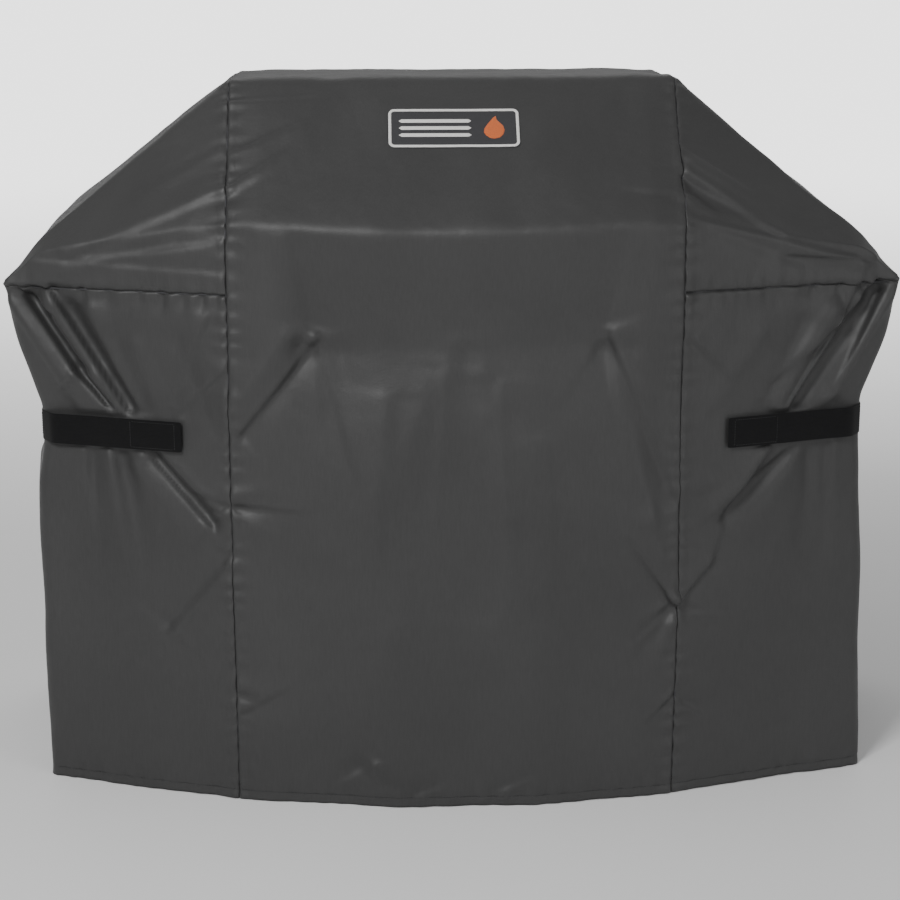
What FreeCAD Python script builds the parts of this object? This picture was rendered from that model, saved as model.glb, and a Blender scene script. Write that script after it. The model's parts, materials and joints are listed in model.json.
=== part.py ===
"""Grill cover: a sewn cloth hood for a gas grill, in the shape it takes over the grill.

The cloth is five panels. One long centre panel runs from the front hem over the lid to the
back hem. On each side a shoulder slopes from the lid down to the side shelf, and a skirt
hangs from the shoulder to the hem. Hook-and-loop straps gather each skirt under the shelf.

Millimetres, +Z up, +X to the right of someone who faces the front, which looks along -Y.
The origin is on the hem plane, in the middle of the cover.
"""
import FreeCAD, Part
import os
import Sketcher

OUT = "parts"

# Driving dimensions: alias, value in mm, what it is.
DIMENSIONS = [
    ("cloth", 2.5, "thickness of a cloth panel"),
    ("full_height", 1060, "hem to the top of the lid"),
    ("half_depth", 310, "middle of the front or back panel"),
    ("seam_half", 325, "side seams, either side of the middle"),
    ("lid_half", 280, "where the lid's top starts to round off at its ends"),
    ("badge_flat_half", 110, "flat stretch of the lid that carries the badge"),
    ("hem_half", 625, "corner of the hem"),
    ("waist_half", 608, "corner where the strap draws the skirt in"),
    ("shelf_half", 650, "corner over the side shelf"),
    ("bulge_half", 643, "corner under the shelf, where the skirt starts to draw in"),
    ("shelf_rise_half", 600, "where the shoulder starts to rise from the shelf"),
    ("waist_low", 525, "bottom of the straight band under the strap"),
    ("waist_high", 585, "top of the straight band under the strap"),
    ("bulge_level", 700, "where the skirt starts to draw in"),
    ("seam_level", 766, "seam between shoulder and skirt"),
    ("tip_level", 776, "top of the shoulder at the shelf's end"),
    ("shelf_level", 832, "top of the shoulder where it starts to rise"),
    ("panel_level", 690, "control panel that the front hangs from"),
    ("crease_level", 868, "front edge of the lid"),
    ("lid_end_level", 1046, "top of the lid at the side seams"),
    ("rear_level", 840, "back edge of the firebox"),
    ("side_front", 180, "front corner of a skirt, ahead of the middle"),
    ("side_back", 270, "back corner of a skirt, behind the middle"),
    ("seam_front", 272, "front of the side seams"),
    ("lid_seam_front", 282, "front of the centre panel under the lid's ends"),
    ("crease_front", 302, "lid's front edge in the middle"),
    ("seam_back", 290, "back of the side seams"),
    ("lid_front", 95, "front edge of the lid's top"),
    ("lid_back", 150, "back edge of the lid's top"),
    ("corner_cut", 18, "bevel on a skirt's corners"),
    ("corner_lead", 5.5, "bevel's end on the front face, ahead of the front corner"),
    ("corner_trail", 1.5, "bevel's end on the back face, behind the back corner"),
    ("binding_width", 12, "seam allowance with its binding, measured inward"),
    ("binding_thick", 3, "bound seam allowance"),
    ("binding_clear", 2.6, "bound seam allowance to the sloping cloth beside it"),
    ("hem_width", 22, "turned-up hem"),
    ("hem_thick", 1.2, "turned-up hem cloth"),
    ("hem_clear", 1.8, "turned-up hem cloth to the panel"),
    ("hem_lift", 1.5, "fold's inner edge above the hem plane"),
    ("gap", 0.3, "air between pieces that only touch"),
    ("strap_width", 45, "webbing width"),
    ("strap_thick", 2, "webbing thickness"),
    ("strap_reach", 205, "free tongue"),
    ("strap_sewn", 66, "sewn end along the skirt's side"),
    ("fold_gap", 1.2, "tongue's end to the fold line"),
    ("pad_long", 75, "hook pad and loop patch length"),
    ("pad_inset", 8, "pad to the tongue's tip"),
    ("pad_edge", 3, "pad to the webbing's edges"),
    ("hook_thick", 1.2, "hook pad"),
    ("loop_thick", 1.5, "loop patch"),
    ("stitch_inset", 6, "box stitch in from the webbing's edges"),
    ("stitch_wide", 1.2, "thread row"),
    ("stitch_thick", 0.5, "thread row"),
    ("badge_long", 190, "badge"),
    ("badge_high", 72, "badge"),
    ("badge_thick", 1.2, "badge"),
    ("badge_rise", 145, "badge's lower edge up the lid's slope"),
    ("border_inset", 2, "border in from the badge's edge"),
    ("border_wide", 4, "embroidered border"),
    ("thread_thick", 0.8, "embroidery"),
    ("bar_high", 6, "one bar of the grate motif"),
    ("bar_pitch", 13, "bar to bar"),
    ("bar_long", 104, "one bar"),
    ("bar_start", 16, "bars' left end in from the badge's edge"),
    ("flame_at", 58, "flame, right of the middle"),
]
SIDES = {"left": "-1", "right": "1"}
NOT_ALIASES = ("atan", "sin", "cos", "tan", "deg")

doc = FreeCAD.newDocument("GrillCover")
sheet = doc.addObject("Spreadsheet::Sheet", "Dims")
for row, (alias, value, meaning) in enumerate(DIMENSIONS, start=1):
    sheet.set(f"A{row}", meaning)
    sheet.set(f"B{row}", str(value))
    sheet.setAlias(f"B{row}", alias)
doc.recompute()

bodies = []


def dim(text):
    """A formula of aliases and numbers, with the sheet's name put before each alias."""
    words = []
    for word in text.split():
        bare = word.strip("()")
        is_alias = bare[:1].isalpha() and bare not in NOT_ALIASES
        words.append(word.replace(bare, "Dims." + bare) if is_alias else word)
    return " ".join(words)


def new_body(label):
    body = doc.addObject("PartDesign::Body", label)
    body.Label = label
    bodies.append(body)
    return body


def origin_plane(body, role):
    return next(o for o in body.Origin.OriginFeatures if o.Role == role)


def pin_vertex(sketch, edge, axis_kind, text):
    """Fixes one coordinate of the first end of an edge to a formula."""
    if text == "0":
        axis = -1 if axis_kind == "DistanceY" else -2
        sketch.addConstraint(Sketcher.Constraint("PointOnObject", edge, 1, axis))
        return
    point = sketch.Geometry[edge].StartPoint
    now = point.x if axis_kind == "DistanceX" else point.y
    index = sketch.addConstraint(Sketcher.Constraint(axis_kind, -1, 1, edge, 1, now))
    sketch.setExpression(f"Constraints[{index}]", dim(text))


def outline(body, name, role, loops, level="0"):
    """A sketch of closed polygons. A loop is a list of (across, up) formulas."""
    sketch = body.newObject("Sketcher::SketchObject", name)
    sketch.AttachmentSupport = [(origin_plane(body, role), "")]
    sketch.MapMode = "FlatFace"
    if level != "0":
        sketch.setExpression("AttachmentOffset.Base.z", dim(level))
    first = 0
    for loop in loops:
        count = len(loop)
        # The start shape is any polygon of as many corners: the formulas then place each one.
        start = [FreeCAD.Vector(10.0 + 3 * k, 5.0 + 2 * k * k + first, 0) for k in range(count)]
        for k in range(count):
            sketch.addGeometry(Part.LineSegment(start[k], start[(k + 1) % count]), False)
        for k in range(count):
            after = first + (k + 1) % count
            sketch.addConstraint(Sketcher.Constraint("Coincident", first + k, 2, after, 1))
        for k, (across, up) in enumerate(loop):
            pin_vertex(sketch, first + k, "DistanceX", across)
            pin_vertex(sketch, first + k, "DistanceY", up)
        first += count
    return sketch


def loft(body, kind, name, sketches):
    """A ruled loft through sketches, added to the body or cut from it."""
    feature = body.newObject(f"PartDesign::{kind}Loft", name)
    feature.Profile = sketches[0]
    feature.Sections = [(s, [""]) for s in sketches[1:]]
    feature.Ruled = True
    return feature


def pad(body, sketch, length, midplane=False, backwards=False):
    feature = body.newObject("PartDesign::Pad", "Pad")
    feature.Profile = sketch
    feature.setExpression("Length", dim(length))
    feature.Midplane = midplane
    feature.Reversed = backwards
    return feature


def hollow(body, role, outer, inner, levels, inner_levels=None):
    """A thin shell: a loft through the outer sections less one through the inner sections."""
    solid = []
    for k, (section, level) in enumerate(zip(outer, levels)):
        solid.append(outline(body, f"Outer{k}", role, [section], level))
    loft(body, "Additive", "Outside", solid)
    space = []
    for k, (section, level) in enumerate(zip(inner, inner_levels or levels)):
        space.append(outline(body, f"Inner{k}", role, [section], level))
    loft(body, "Subtractive", "Inside", space)


# ---------------------------------------------------------------- centre panel

def centre_profile(front, crease, roof, back, inset="0"):
    """The panel's side view: up the front, over the lid and down the back."""
    foot = "-10" if inset != "0" else "0"
    return [
        (f"-1 * ( {front} ) + {inset}", foot),
        (f"-1 * ( {front} ) + {inset}", "panel_level"),
        (f"-1 * ( {crease} ) + {inset}", f"crease_level - {inset} * 0.4"),
        (f"-1 * lid_front + {inset} * 0.4", f"{roof} - {inset}"),
        (f"lid_back - {inset} * 0.5", f"{roof} - {inset}"),
        (f"{back} - {inset}", f"rear_level - {inset} * 0.3"),
        (f"{back} - {inset}", foot),
    ]


# Front, lid edge, lid top and back, at the seam, the lid's end and the flat middle.
AT_SEAM = ("seam_front", "seam_front", "lid_end_level", "seam_back")
AT_LID_END = ("lid_seam_front", "lid_seam_front + 6", "full_height", "seam_back + 8")
AT_MIDDLE = ("half_depth", "crease_front", "full_height", "half_depth")


def make_centre_panel():
    body = new_body("centre_panel")
    stations = [AT_SEAM, AT_LID_END, AT_MIDDLE, AT_MIDDLE, AT_LID_END, AT_SEAM]
    levels = ["-1 * seam_half", "-1 * lid_half", "-1 * badge_flat_half",
              "badge_flat_half", "lid_half", "seam_half"]
    outer = [centre_profile(*s) for s in stations]
    inner = [centre_profile(*s, inset="cloth") for s in stations]
    hollow(body, "YZ_Plane", outer, inner, levels)


# ---------------------------------------------------------------- shoulders

def shoulder_section(front, back, low_front, roof, roof_front, roof_back, rear, inset="0"):
    """One cross section of a shoulder, from the shoulder seam up over the slope."""
    foot = "seam_level - 10" if inset != "0" else "seam_level"
    return [
        (f"-1 * ( {front} ) + {inset}", foot),
        (f"-1 * ( {low_front[0]} ) + {inset}", f"{low_front[1]} - {inset} * 0.4"),
        (f"-1 * ( {roof_front} ) + {inset} * 0.4", f"{roof} - {inset}"),
        (f"{roof_back} - {inset} * 0.5", f"{roof} - {inset}"),
        (f"{rear[0]} - {inset}", f"{rear[1]} - {inset} * 0.3"),
        (f"{back} - {inset}", foot),
    ]


SHOULDER = [
    # at the side seam, where it meets the centre panel
    ("seam_front", "seam_back", ("seam_front", "crease_level"), "lid_end_level",
     "lid_front", "lid_back", ("seam_back", "rear_level")),
    # where the shelf ends and the slope begins
    ("side_front + 16", "side_back + 3", ("side_front + 15", "shelf_level - 14"), "shelf_level",
     "side_front - 16", "side_back - 30", ("side_back + 3", "shelf_level - 18")),
    # over the shelf's outer edge
    ("side_front", "side_back", ("side_front", "tip_level - 4"), "tip_level",
     "side_front - 8", "side_back - 8", ("side_back", "tip_level - 4")),
]


def make_shoulder(side):
    body = new_body(f"{side}_shoulder")
    sign = SIDES[side]
    outer = [shoulder_section(*s) for s in SHOULDER]
    inner = [shoulder_section(*s, inset="cloth") for s in SHOULDER]
    levels = [f"{sign} * seam_half", f"{sign} * shelf_rise_half", f"{sign} * shelf_half"]
    inner_levels = levels[:2] + [f"{sign} * ( shelf_half - cloth )"]
    hollow(body, "YZ_Plane", outer, inner, levels, inner_levels)


# ---------------------------------------------------------------- skirts

def skirt_section(side, half, inset="0"):
    """A skirt seen from above: front, bevelled corners, side and back."""
    sign = SIDES[side]
    return [
        (f"{sign} * seam_half", f"-1 * seam_front + {inset}"),
        (f"{sign} * ( {half} - corner_cut - {inset} * 0.5 )",
         f"-1 * side_front - corner_lead + {inset}"),
        (f"{sign} * ( {half} - {inset} )", f"-1 * side_front + corner_cut + {inset} * 0.5"),
        (f"{sign} * ( {half} - {inset} )", f"side_back - corner_cut - {inset} * 0.5"),
        (f"{sign} * ( {half} - corner_cut - {inset} * 0.5 )",
         f"side_back + corner_trail - {inset}"),
        (f"{sign} * seam_half", f"seam_back - {inset}"),
    ]


def make_skirt(side):
    body = new_body(f"{side}_skirt")
    halves = ["hem_half", "waist_half", "waist_half", "bulge_half", "shelf_half"]
    levels = ["0", "waist_low", "waist_high", "bulge_level", "seam_level"]
    outer = [skirt_section(side, half) for half in halves]
    inner = [skirt_section(side, half, inset="cloth") for half in halves]
    inner_levels = ["-10", "waist_low", "waist_high", "bulge_level", "seam_level + 10"]
    hollow(body, "XY_Plane", outer, inner, levels, inner_levels)


# ---------------------------------------------------------------- seams and hems

def make_seam_binding(side):
    """The bound seam allowance that stands inward from a side seam, front hem to back hem."""
    body = new_body(f"{side}_seam_binding")
    outside = centre_profile(*AT_SEAM, inset="( cloth + binding_clear )")
    inside = centre_profile(*AT_SEAM, inset="( cloth + binding_width )")
    foot = "hem_lift + hem_width + 1"
    outside[0], outside[-1] = (outside[0][0], foot), (outside[-1][0], foot)
    inside[0], inside[-1] = (inside[0][0], foot), (inside[-1][0], foot)
    sketch = outline(body, "Run", "YZ_Plane", [outside + inside[::-1]], f"{SIDES[side]} * seam_half")
    pad(body, sketch, "binding_thick", midplane=True)


def between(body, name, outside, inside, level, height):
    """A wall between two outlines seen from above, raised from a level."""
    sketch = outline(body, name, "XY_Plane", [outside + inside[::-1]], level)
    pad(body, sketch, height)


def make_shoulder_binding(side):
    """The bound allowance of the seam between shoulder and skirt."""
    body = new_body(f"{side}_shoulder_binding")
    runs = []
    for inset in ("( cloth + binding_clear )", "( cloth + binding_width )"):
        run = skirt_section(side, "shelf_half", inset)
        start = f"{SIDES[side]} * ( seam_half + binding_thick )"
        runs.append([(start, run[0][1])] + run[1:-1] + [(start, run[-1][1])])
    between(body, "Run", runs[0], runs[1], "seam_level - binding_thick * 0.5", "binding_thick")


def make_centre_hem(end):
    """The turned-up hem inside the foot of the centre panel, at the front or the back."""
    body = new_body(f"centre_{end}_hem")
    sign = "-1" if end == "front" else "1"
    stops = ["seam_front", "lid_seam_front", "half_depth"]
    if end == "back":
        stops = ["seam_back", "seam_back + 8", "half_depth"]
    stations = list(zip(["seam_half - hem_clear * 2", "lid_half", "badge_flat_half"], stops))
    runs = []
    for inset in ("( cloth + hem_clear )", "( cloth + hem_clear + hem_thick )"):
        half = [(across, f"{sign} * ( {stop} - {inset} )") for across, stop in stations]
        mirrored = [(f"-1 * ( {across} )", up) for across, up in half]
        runs.append(mirrored + half[::-1])
    between(body, "Fold", runs[0], runs[1], "hem_lift", "hem_width")


def make_skirt_hem(side):
    body = new_body(f"{side}_skirt_hem")
    outside = skirt_section(side, "hem_half", "( cloth + hem_clear )")
    inside = skirt_section(side, "hem_half", "( cloth + hem_clear + hem_thick )")
    between(body, "Fold", outside, inside, "hem_lift", "hem_width")


# ---------------------------------------------------------------- straps

# The skirt's front face at the waist, from its bevelled corner towards the side seam.
FACE_ANGLE = ("atan( ( seam_front - side_front - corner_lead )"
              " / ( waist_half - corner_cut - seam_half ) )")
# The front bevel, turned this far from the skirt's side.
BEVEL_ANGLE = "atan( corner_cut / ( corner_cut + corner_lead ) )"
STRAP_FOOT = "( waist_low + waist_high - strap_width ) * 0.5"
# The tongue's inner face stands off the skirt by the loop patch, the air gap and the hook pad.
FLOAT = "( loop_thick + gap + hook_thick )"


def on_face(body, side):
    """Turns a body: its own X runs along the skirt's face, and outward is Y (right) or -Y (left)."""
    sign = SIDES[side]
    body.setExpression("Placement.Base.x", dim(f"{sign} * ( waist_half - corner_cut )"))
    body.setExpression("Placement.Base.y", dim("-1 * side_front - corner_lead"))
    body.setExpression("Placement.Base.z", dim(STRAP_FOOT))
    turn = f"-1 * {FACE_ANGLE}" if side == "left" else f"180 deg + {FACE_ANGLE}"
    body.setExpression("Placement.Rotation.Angle", dim(turn))


def strip(body, side, reach, off, level, height):
    """A flat strip along the face: reach and off are (from, to) formulas."""
    out = "-1" if side == "left" else "1"
    corners = [(reach[0], f"{out} * {off[0]}"), (reach[1], f"{out} * {off[0]}"),
               (reach[1], f"{out} * {off[1]}"), (reach[0], f"{out} * {off[1]}")]
    sketch = outline(body, "Strip", "XY_Plane", [corners], level)
    pad(body, sketch, height)
    on_face(body, side)


PAD_REACH = ("strap_reach - pad_inset - pad_long", "strap_reach - pad_inset")


def make_strap_tongue(side):
    body = new_body(f"{side}_strap_tongue")
    strip(body, side, ("fold_gap", "strap_reach"), (FLOAT, f"( {FLOAT} + strap_thick )"),
          "0", "strap_width")


def make_hook_pad(side):
    body = new_body(f"{side}_hook_pad")
    strip(body, side, PAD_REACH, (f"( {FLOAT} - hook_thick )", FLOAT),
          "pad_edge", "strap_width - 2 * pad_edge")


def make_loop_patch(side):
    body = new_body(f"{side}_loop_patch")
    strip(body, side, PAD_REACH, ("0", "loop_thick"), "pad_edge", "strap_width - 2 * pad_edge")


def make_strap_root(side):
    """The webbing's sewn end: flat on the skirt's side, then over the bevel to the fold."""
    body = new_body(f"{side}_strap_root")
    sign = SIDES[side]
    corner = "-1 * side_front + corner_cut"
    corners = [
        (f"{sign} * waist_half", f"{corner} + strap_sewn"),
        (f"{sign} * waist_half", corner),
        (f"{sign} * ( waist_half - corner_cut )", "-1 * side_front - corner_lead"),
        (f"{sign} * ( waist_half - corner_cut + strap_thick * cos( {BEVEL_ANGLE} ) )",
         f"-1 * side_front - corner_lead - strap_thick * sin( {BEVEL_ANGLE} )"),
        (f"{sign} * ( waist_half + strap_thick )",
         f"{corner} - strap_thick * tan( {BEVEL_ANGLE} * 0.5 )"),
        (f"{sign} * ( waist_half + strap_thick )", f"{corner} + strap_sewn"),
    ]
    sketch = outline(body, "Run", "XY_Plane", [corners], STRAP_FOOT)
    pad(body, sketch, "strap_width")


def frame_loops(low, high, wide):
    """An outer and an inner rectangle from (across, up) corner formulas and a width."""
    def ring(inset):
        a, b = (f"{low[0]} + {inset}", f"{high[0]} - {inset}")
        c, d = (f"{low[1]} + {inset}", f"{high[1]} - {inset}")
        return [(a, c), (b, c), (b, d), (a, d)]
    return [ring("0"), ring(wide)]


def make_strap_stitching(side):
    """The box of thread that sews the webbing to the skirt."""
    body = new_body(f"{side}_strap_stitching")
    corner = "-1 * side_front + corner_cut"
    low = (f"{corner} + stitch_inset", f"{STRAP_FOOT} + stitch_inset")
    high = (f"{corner} + strap_sewn - stitch_inset", f"{STRAP_FOOT} + strap_width - stitch_inset")
    sketch = outline(body, "Rows", "YZ_Plane", frame_loops(low, high, "stitch_wide"),
                     f"{SIDES[side]} * ( waist_half + strap_thick )")
    pad(body, sketch, "stitch_thick", backwards=side == "left")


# ---------------------------------------------------------------- badge

LID_SLOPE = "atan( ( full_height - crease_level ) / ( crease_front - lid_front ) )"


def on_lid(body):
    """Puts a body's own X across the lid, Y up its slope and Z out of it."""
    body.Placement.Rotation = FreeCAD.Rotation(FreeCAD.Vector(1, 0, 0), 1)
    body.setExpression("Placement.Base.y", dim("-1 * crease_front"))
    body.setExpression("Placement.Base.z", dim("crease_level"))
    body.setExpression("Placement.Rotation.Angle", dim(LID_SLOPE))


def badge_piece(label, loops, level, thick):
    body = new_body(label)
    pad(body, outline(body, "Shape", "XY_Plane", loops, level), thick)
    on_lid(body)


def rectangle(left, right, low, high):
    return [(left, low), (right, low), (right, high), (left, high)]


def make_badge():
    half = "badge_long * 0.5"
    middle = "badge_rise + badge_high * 0.5"
    plate = rectangle(f"-1 * {half}", half, "badge_rise", "badge_rise + badge_high")
    badge_piece("badge_patch", [plate], "0", "badge_thick")
    low = (f"-1 * {half} + border_inset", "badge_rise + border_inset")
    high = (f"{half} - border_inset", "badge_rise + badge_high - border_inset")
    badge_piece("badge_border", frame_loops(low, high, "border_wide"), "badge_thick", "thread_thick")
    bars = []
    bar_left = f"-1 * {half} + bar_start"
    for row in (-1, 0, 1):
        up = f"{middle} + {row} * bar_pitch"
        bars.append(rectangle(bar_left, f"{bar_left} + bar_long",
                              f"{up} - bar_high * 0.5", f"{up} + bar_high * 0.5"))
    badge_piece("badge_grate_bars", bars, "badge_thick", "thread_thick")
    # A plain flame: a rounded foot and a tip that leans.
    flame = [(0, -20), (11, -15), (15, -5), (12, 5), (5, 13), (3, 22), (-5, 14), (-12, 4),
             (-15, -6), (-10, -15)]
    points = [(f"flame_at + {x}", f"{middle} + {y}") for x, y in flame]
    badge_piece("badge_flame", [points], "badge_thick", "thread_thick")


make_centre_panel()
for side in SIDES:
    make_shoulder(side)
    make_skirt(side)
    make_seam_binding(side)
    make_shoulder_binding(side)
    make_skirt_hem(side)
    make_strap_root(side)
    make_strap_stitching(side)
    make_loop_patch(side)
    make_strap_tongue(side)
    make_hook_pad(side)
for end in ("front", "back"):
    make_centre_hem(end)
make_badge()
doc.recompute()

os.makedirs(OUT, exist_ok=True)
for item in doc.Objects:
    if "Invalid" in item.State or "Error" in item.State:
        raise RuntimeError(f"{item.Label} failed: {item.State}")
for body in bodies:
    shape = body.Shape
    if shape.isNull() or not shape.isValid():
        raise RuntimeError(f"{body.Label} has no valid shape")
    shape.exportStep(f"{OUT}/{body.Label}.step")
    box = shape.BoundBox
    print(f"{body.Label}: {len(shape.Solids)} solids, {shape.Volume / 1000:.1f} cm3, "
          f"{box.XLength:.1f} x {box.YLength:.1f} x {box.ZLength:.1f} mm")
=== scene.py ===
"""Grill cover: the cloth, webbing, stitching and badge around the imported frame.

All five panels are first one welded mesh that follows the CAD surface. It is pulled into the
folds that the grill's lid, control panel and shelves give it, settled by a cloth simulation,
subdivided, given its crisp tucks, seams and hem, and then cut into one piece for each panel.
Metres, +Z up, and the front looks along -Y.
"""
import json
import math

import bpy
import numpy as np
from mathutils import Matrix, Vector, noise
from mathutils.bvhtree import BVHTree


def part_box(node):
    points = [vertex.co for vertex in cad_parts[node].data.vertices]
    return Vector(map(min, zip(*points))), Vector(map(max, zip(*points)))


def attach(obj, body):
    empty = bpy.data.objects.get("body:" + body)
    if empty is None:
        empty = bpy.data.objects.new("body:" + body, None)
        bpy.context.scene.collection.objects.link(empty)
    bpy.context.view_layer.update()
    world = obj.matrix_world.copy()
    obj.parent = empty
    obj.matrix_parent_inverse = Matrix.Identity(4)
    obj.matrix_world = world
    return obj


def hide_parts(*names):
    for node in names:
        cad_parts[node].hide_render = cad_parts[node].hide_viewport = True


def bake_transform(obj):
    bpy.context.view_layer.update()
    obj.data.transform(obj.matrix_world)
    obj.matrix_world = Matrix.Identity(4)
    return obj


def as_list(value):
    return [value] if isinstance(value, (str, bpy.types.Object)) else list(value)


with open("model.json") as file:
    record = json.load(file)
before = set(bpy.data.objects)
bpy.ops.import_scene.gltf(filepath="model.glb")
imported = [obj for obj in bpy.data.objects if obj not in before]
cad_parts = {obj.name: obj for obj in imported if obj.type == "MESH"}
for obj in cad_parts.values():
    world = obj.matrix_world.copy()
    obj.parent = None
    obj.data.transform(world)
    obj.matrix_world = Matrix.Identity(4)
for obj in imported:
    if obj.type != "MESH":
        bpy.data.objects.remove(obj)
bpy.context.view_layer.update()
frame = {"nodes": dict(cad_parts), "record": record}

SIDES = {"left": -1.0, "right": 1.0}
MM = 0.001


def mm(*lengths):
    return np.array(lengths) * MM



# ---------------------------------------------------------------- sizes

SEAM_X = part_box("centre_panel")[1].x
TOP_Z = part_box("centre_panel")[1].z
HALF_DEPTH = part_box("centre_panel")[1].y
SEAM_FRONT = -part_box("right_skirt")[0].y
SEAM_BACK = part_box("right_skirt")[1].y
SHELF_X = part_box("right_shoulder")[1].x
SHELF_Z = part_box("right_skirt")[1].z
STRAP_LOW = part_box("right_strap_tongue")[0].z
STRAP_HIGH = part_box("right_strap_tongue")[1].z
STRAP_MIDDLE = (STRAP_LOW + STRAP_HIGH) / 2
WEBBING = 2 * MM
WAIST_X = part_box("right_strap_root")[1].x - WEBBING

HEM_X = 0.625            # corner of the hem
# Half widths of the two skirts at their corners, as (height, half width): no two sides hang alike.
SKIRT_HANG = {
    "left": [(0, 0.621), (0.285, 0.616), (0.470, 0.617), (0.525, WAIST_X), (0.585, WAIST_X),
             (0.612, 0.617), (0.640, 0.626), (0.681, 0.640), (0.725, 0.649), (0.766, 0.650)],
    "right": [(0, 0.632), (0.270, 0.621), (0.470, 0.612), (0.525, WAIST_X), (0.585, WAIST_X),
              (0.640, 0.626), (0.684, 0.643), (0.725, 0.650), (0.766, 0.650)],
}
LID_X = 0.280            # the lid's top starts to round off here
FLAT_X = 0.110           # flat middle of the lid, with the badge
STRAP_FADE = 0.010       # how far past the strap's edges the cloth is still held flat
PANEL_Z = 0.690          # control panel's edge, which the front hangs from
PANEL_STEP = 0.024       # how far the cloth falls back under the lid, down to that edge
PANEL_HANG = 0.26        # how far below that edge it is back out
CREASE_Z = 0.872         # lid's front edge at the side seams
CREASE_SAG = 0.012       # and how much lower it is in the middle
LID_FRONT = 0.095        # front and back edges of the lid's top
LID_BACK = 0.150
REAR_Z = 0.840           # lid's back edge
SHELF_RISE_X = 0.600     # the shoulder starts to rise from the shelf here
ROOF_CREST = -0.02       # the lid's top is highest here, and falls a little to its back edge
ROOF_FALL = 0.42
CORNER = 0.018           # rounding of a skirt's corners
SIDE_FRONT = 0.180
SIDE_BACK = 0.270
CORNER_LEAD = 0.0055     # how far the slanting front and back go on behind the rounding
CORNER_TRAIL = 0.0015

# How many cells each stretch of the welded mesh has.
CELLS_ACROSS = 84
CELLS_SHOULDER = 42
CELLS_DROP = 96
CELLS_OVER = (12, 32, 26, 26, 8)
OVER_CELLS = sum(CELLS_OVER)


def smooth(x):
    """0 below 0, 1 above 1, and an S between."""
    x = np.clip(x, 0.0, 1.0)
    return x * x * (3 - 2 * x)


def spaced(count, close):
    """0 to 1 in count steps, closer together at both ends."""
    t = np.linspace(0, 1, count + 1)
    return t - close * np.sin(2 * math.pi * t) / (2 * math.pi)


SHOULDER_SHARES = spaced(CELLS_SHOULDER, 0.45)


# ---------------------------------------------------------------- the surface without folds

ACROSS = (0.0, FLAT_X, LID_X, SEAM_X)


def across(x, values):
    return np.interp(np.abs(x), ACROSS, values)


def crease_level(x):
    return CREASE_Z - CREASE_SAG * (1 - (x / SEAM_X) ** 2)


def front_depth(x, z):
    """How far the centre panel's front stands out at height z, up to the lid's edge."""
    hang = across(x, (HALF_DEPTH, HALF_DEPTH, 0.282, SEAM_FRONT))
    edge = across(x, (0.302, 0.302, 0.288, SEAM_FRONT))
    rise = np.clip((z - PANEL_Z) / (crease_level(x) - PANEL_Z), 0, 1)
    between_pokes = 1 - smooth((np.abs(x - 0.006) - 0.20) / 0.07)
    # The cloth drops inward from the lid's edge to the control panel, then hangs out from it.
    below = np.clip((PANEL_Z - z) / PANEL_HANG, 0, 1)
    fall_back = PANEL_STEP * between_pokes * np.where(z > PANEL_Z, 1 - rise, (1 - below) ** 2)
    return hang + (edge - hang) * rise - fall_back


def back_depth(x):
    return float(across(x, (HALF_DEPTH, HALF_DEPTH, 0.298, SEAM_BACK)))


def roof_level(x, y):
    return float(across(x, (TOP_Z, TOP_Z, TOP_Z, TOP_Z - 0.004))) - ROOF_FALL * (y - ROOF_CREST) ** 2


def over_points(x):
    """The corners of the centre panel's side view above the shoulder seam, front to back."""
    back = back_depth(x)
    crease = float(crease_level(x))
    return [(-float(front_depth(x, SHELF_Z)), SHELF_Z), (-float(front_depth(x, crease)), crease),
            (-LID_FRONT, roof_level(x, -LID_FRONT)), (LID_BACK, roof_level(x, LID_BACK)),
            (back, REAR_Z), (back, SHELF_Z)]


def shoulder_points(x):
    """The same corners on a shoulder, between the side seam and the shelf's outer edge."""
    stations = (SEAM_X, SHELF_RISE_X, SHELF_X)

    def at(*values):
        return float(np.interp(x, stations, values))
    return [(-at(SEAM_FRONT, 0.196, SIDE_FRONT), SHELF_Z),
            (-at(SEAM_FRONT, 0.195, SIDE_FRONT), at(CREASE_Z, 0.818, SHELF_Z + 0.001)),
            (-at(LID_FRONT, 0.164, 0.172), at(roof_level(SEAM_X, -LID_FRONT), 0.832, SHELF_Z + 0.002)),
            (at(LID_BACK, 0.240, 0.262), at(roof_level(SEAM_X, LID_BACK), 0.832, SHELF_Z + 0.002)),
            (at(SEAM_BACK, 0.273, SIDE_BACK), at(REAR_Z, 0.814, SHELF_Z + 0.001)),
            (at(SEAM_BACK, 0.273, SIDE_BACK), SHELF_Z)]


def walk(corners):
    """Points along straight stretches between corners, with CELLS_OVER cells in each."""
    points = [corners[0]]
    for (a, b), cells in zip(zip(corners, corners[1:]), CELLS_OVER):
        for k in range(1, cells + 1):
            t = k / cells
            points.append((a[0] + (b[0] - a[0]) * t, a[1] + (b[1] - a[1]) * t))
    return points


def skirt_half(side, z):
    """Half width of the cover on one side at height z, below the shoulder seam."""
    return float(np.interp(z, *zip(*SKIRT_HANG[side])))


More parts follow.
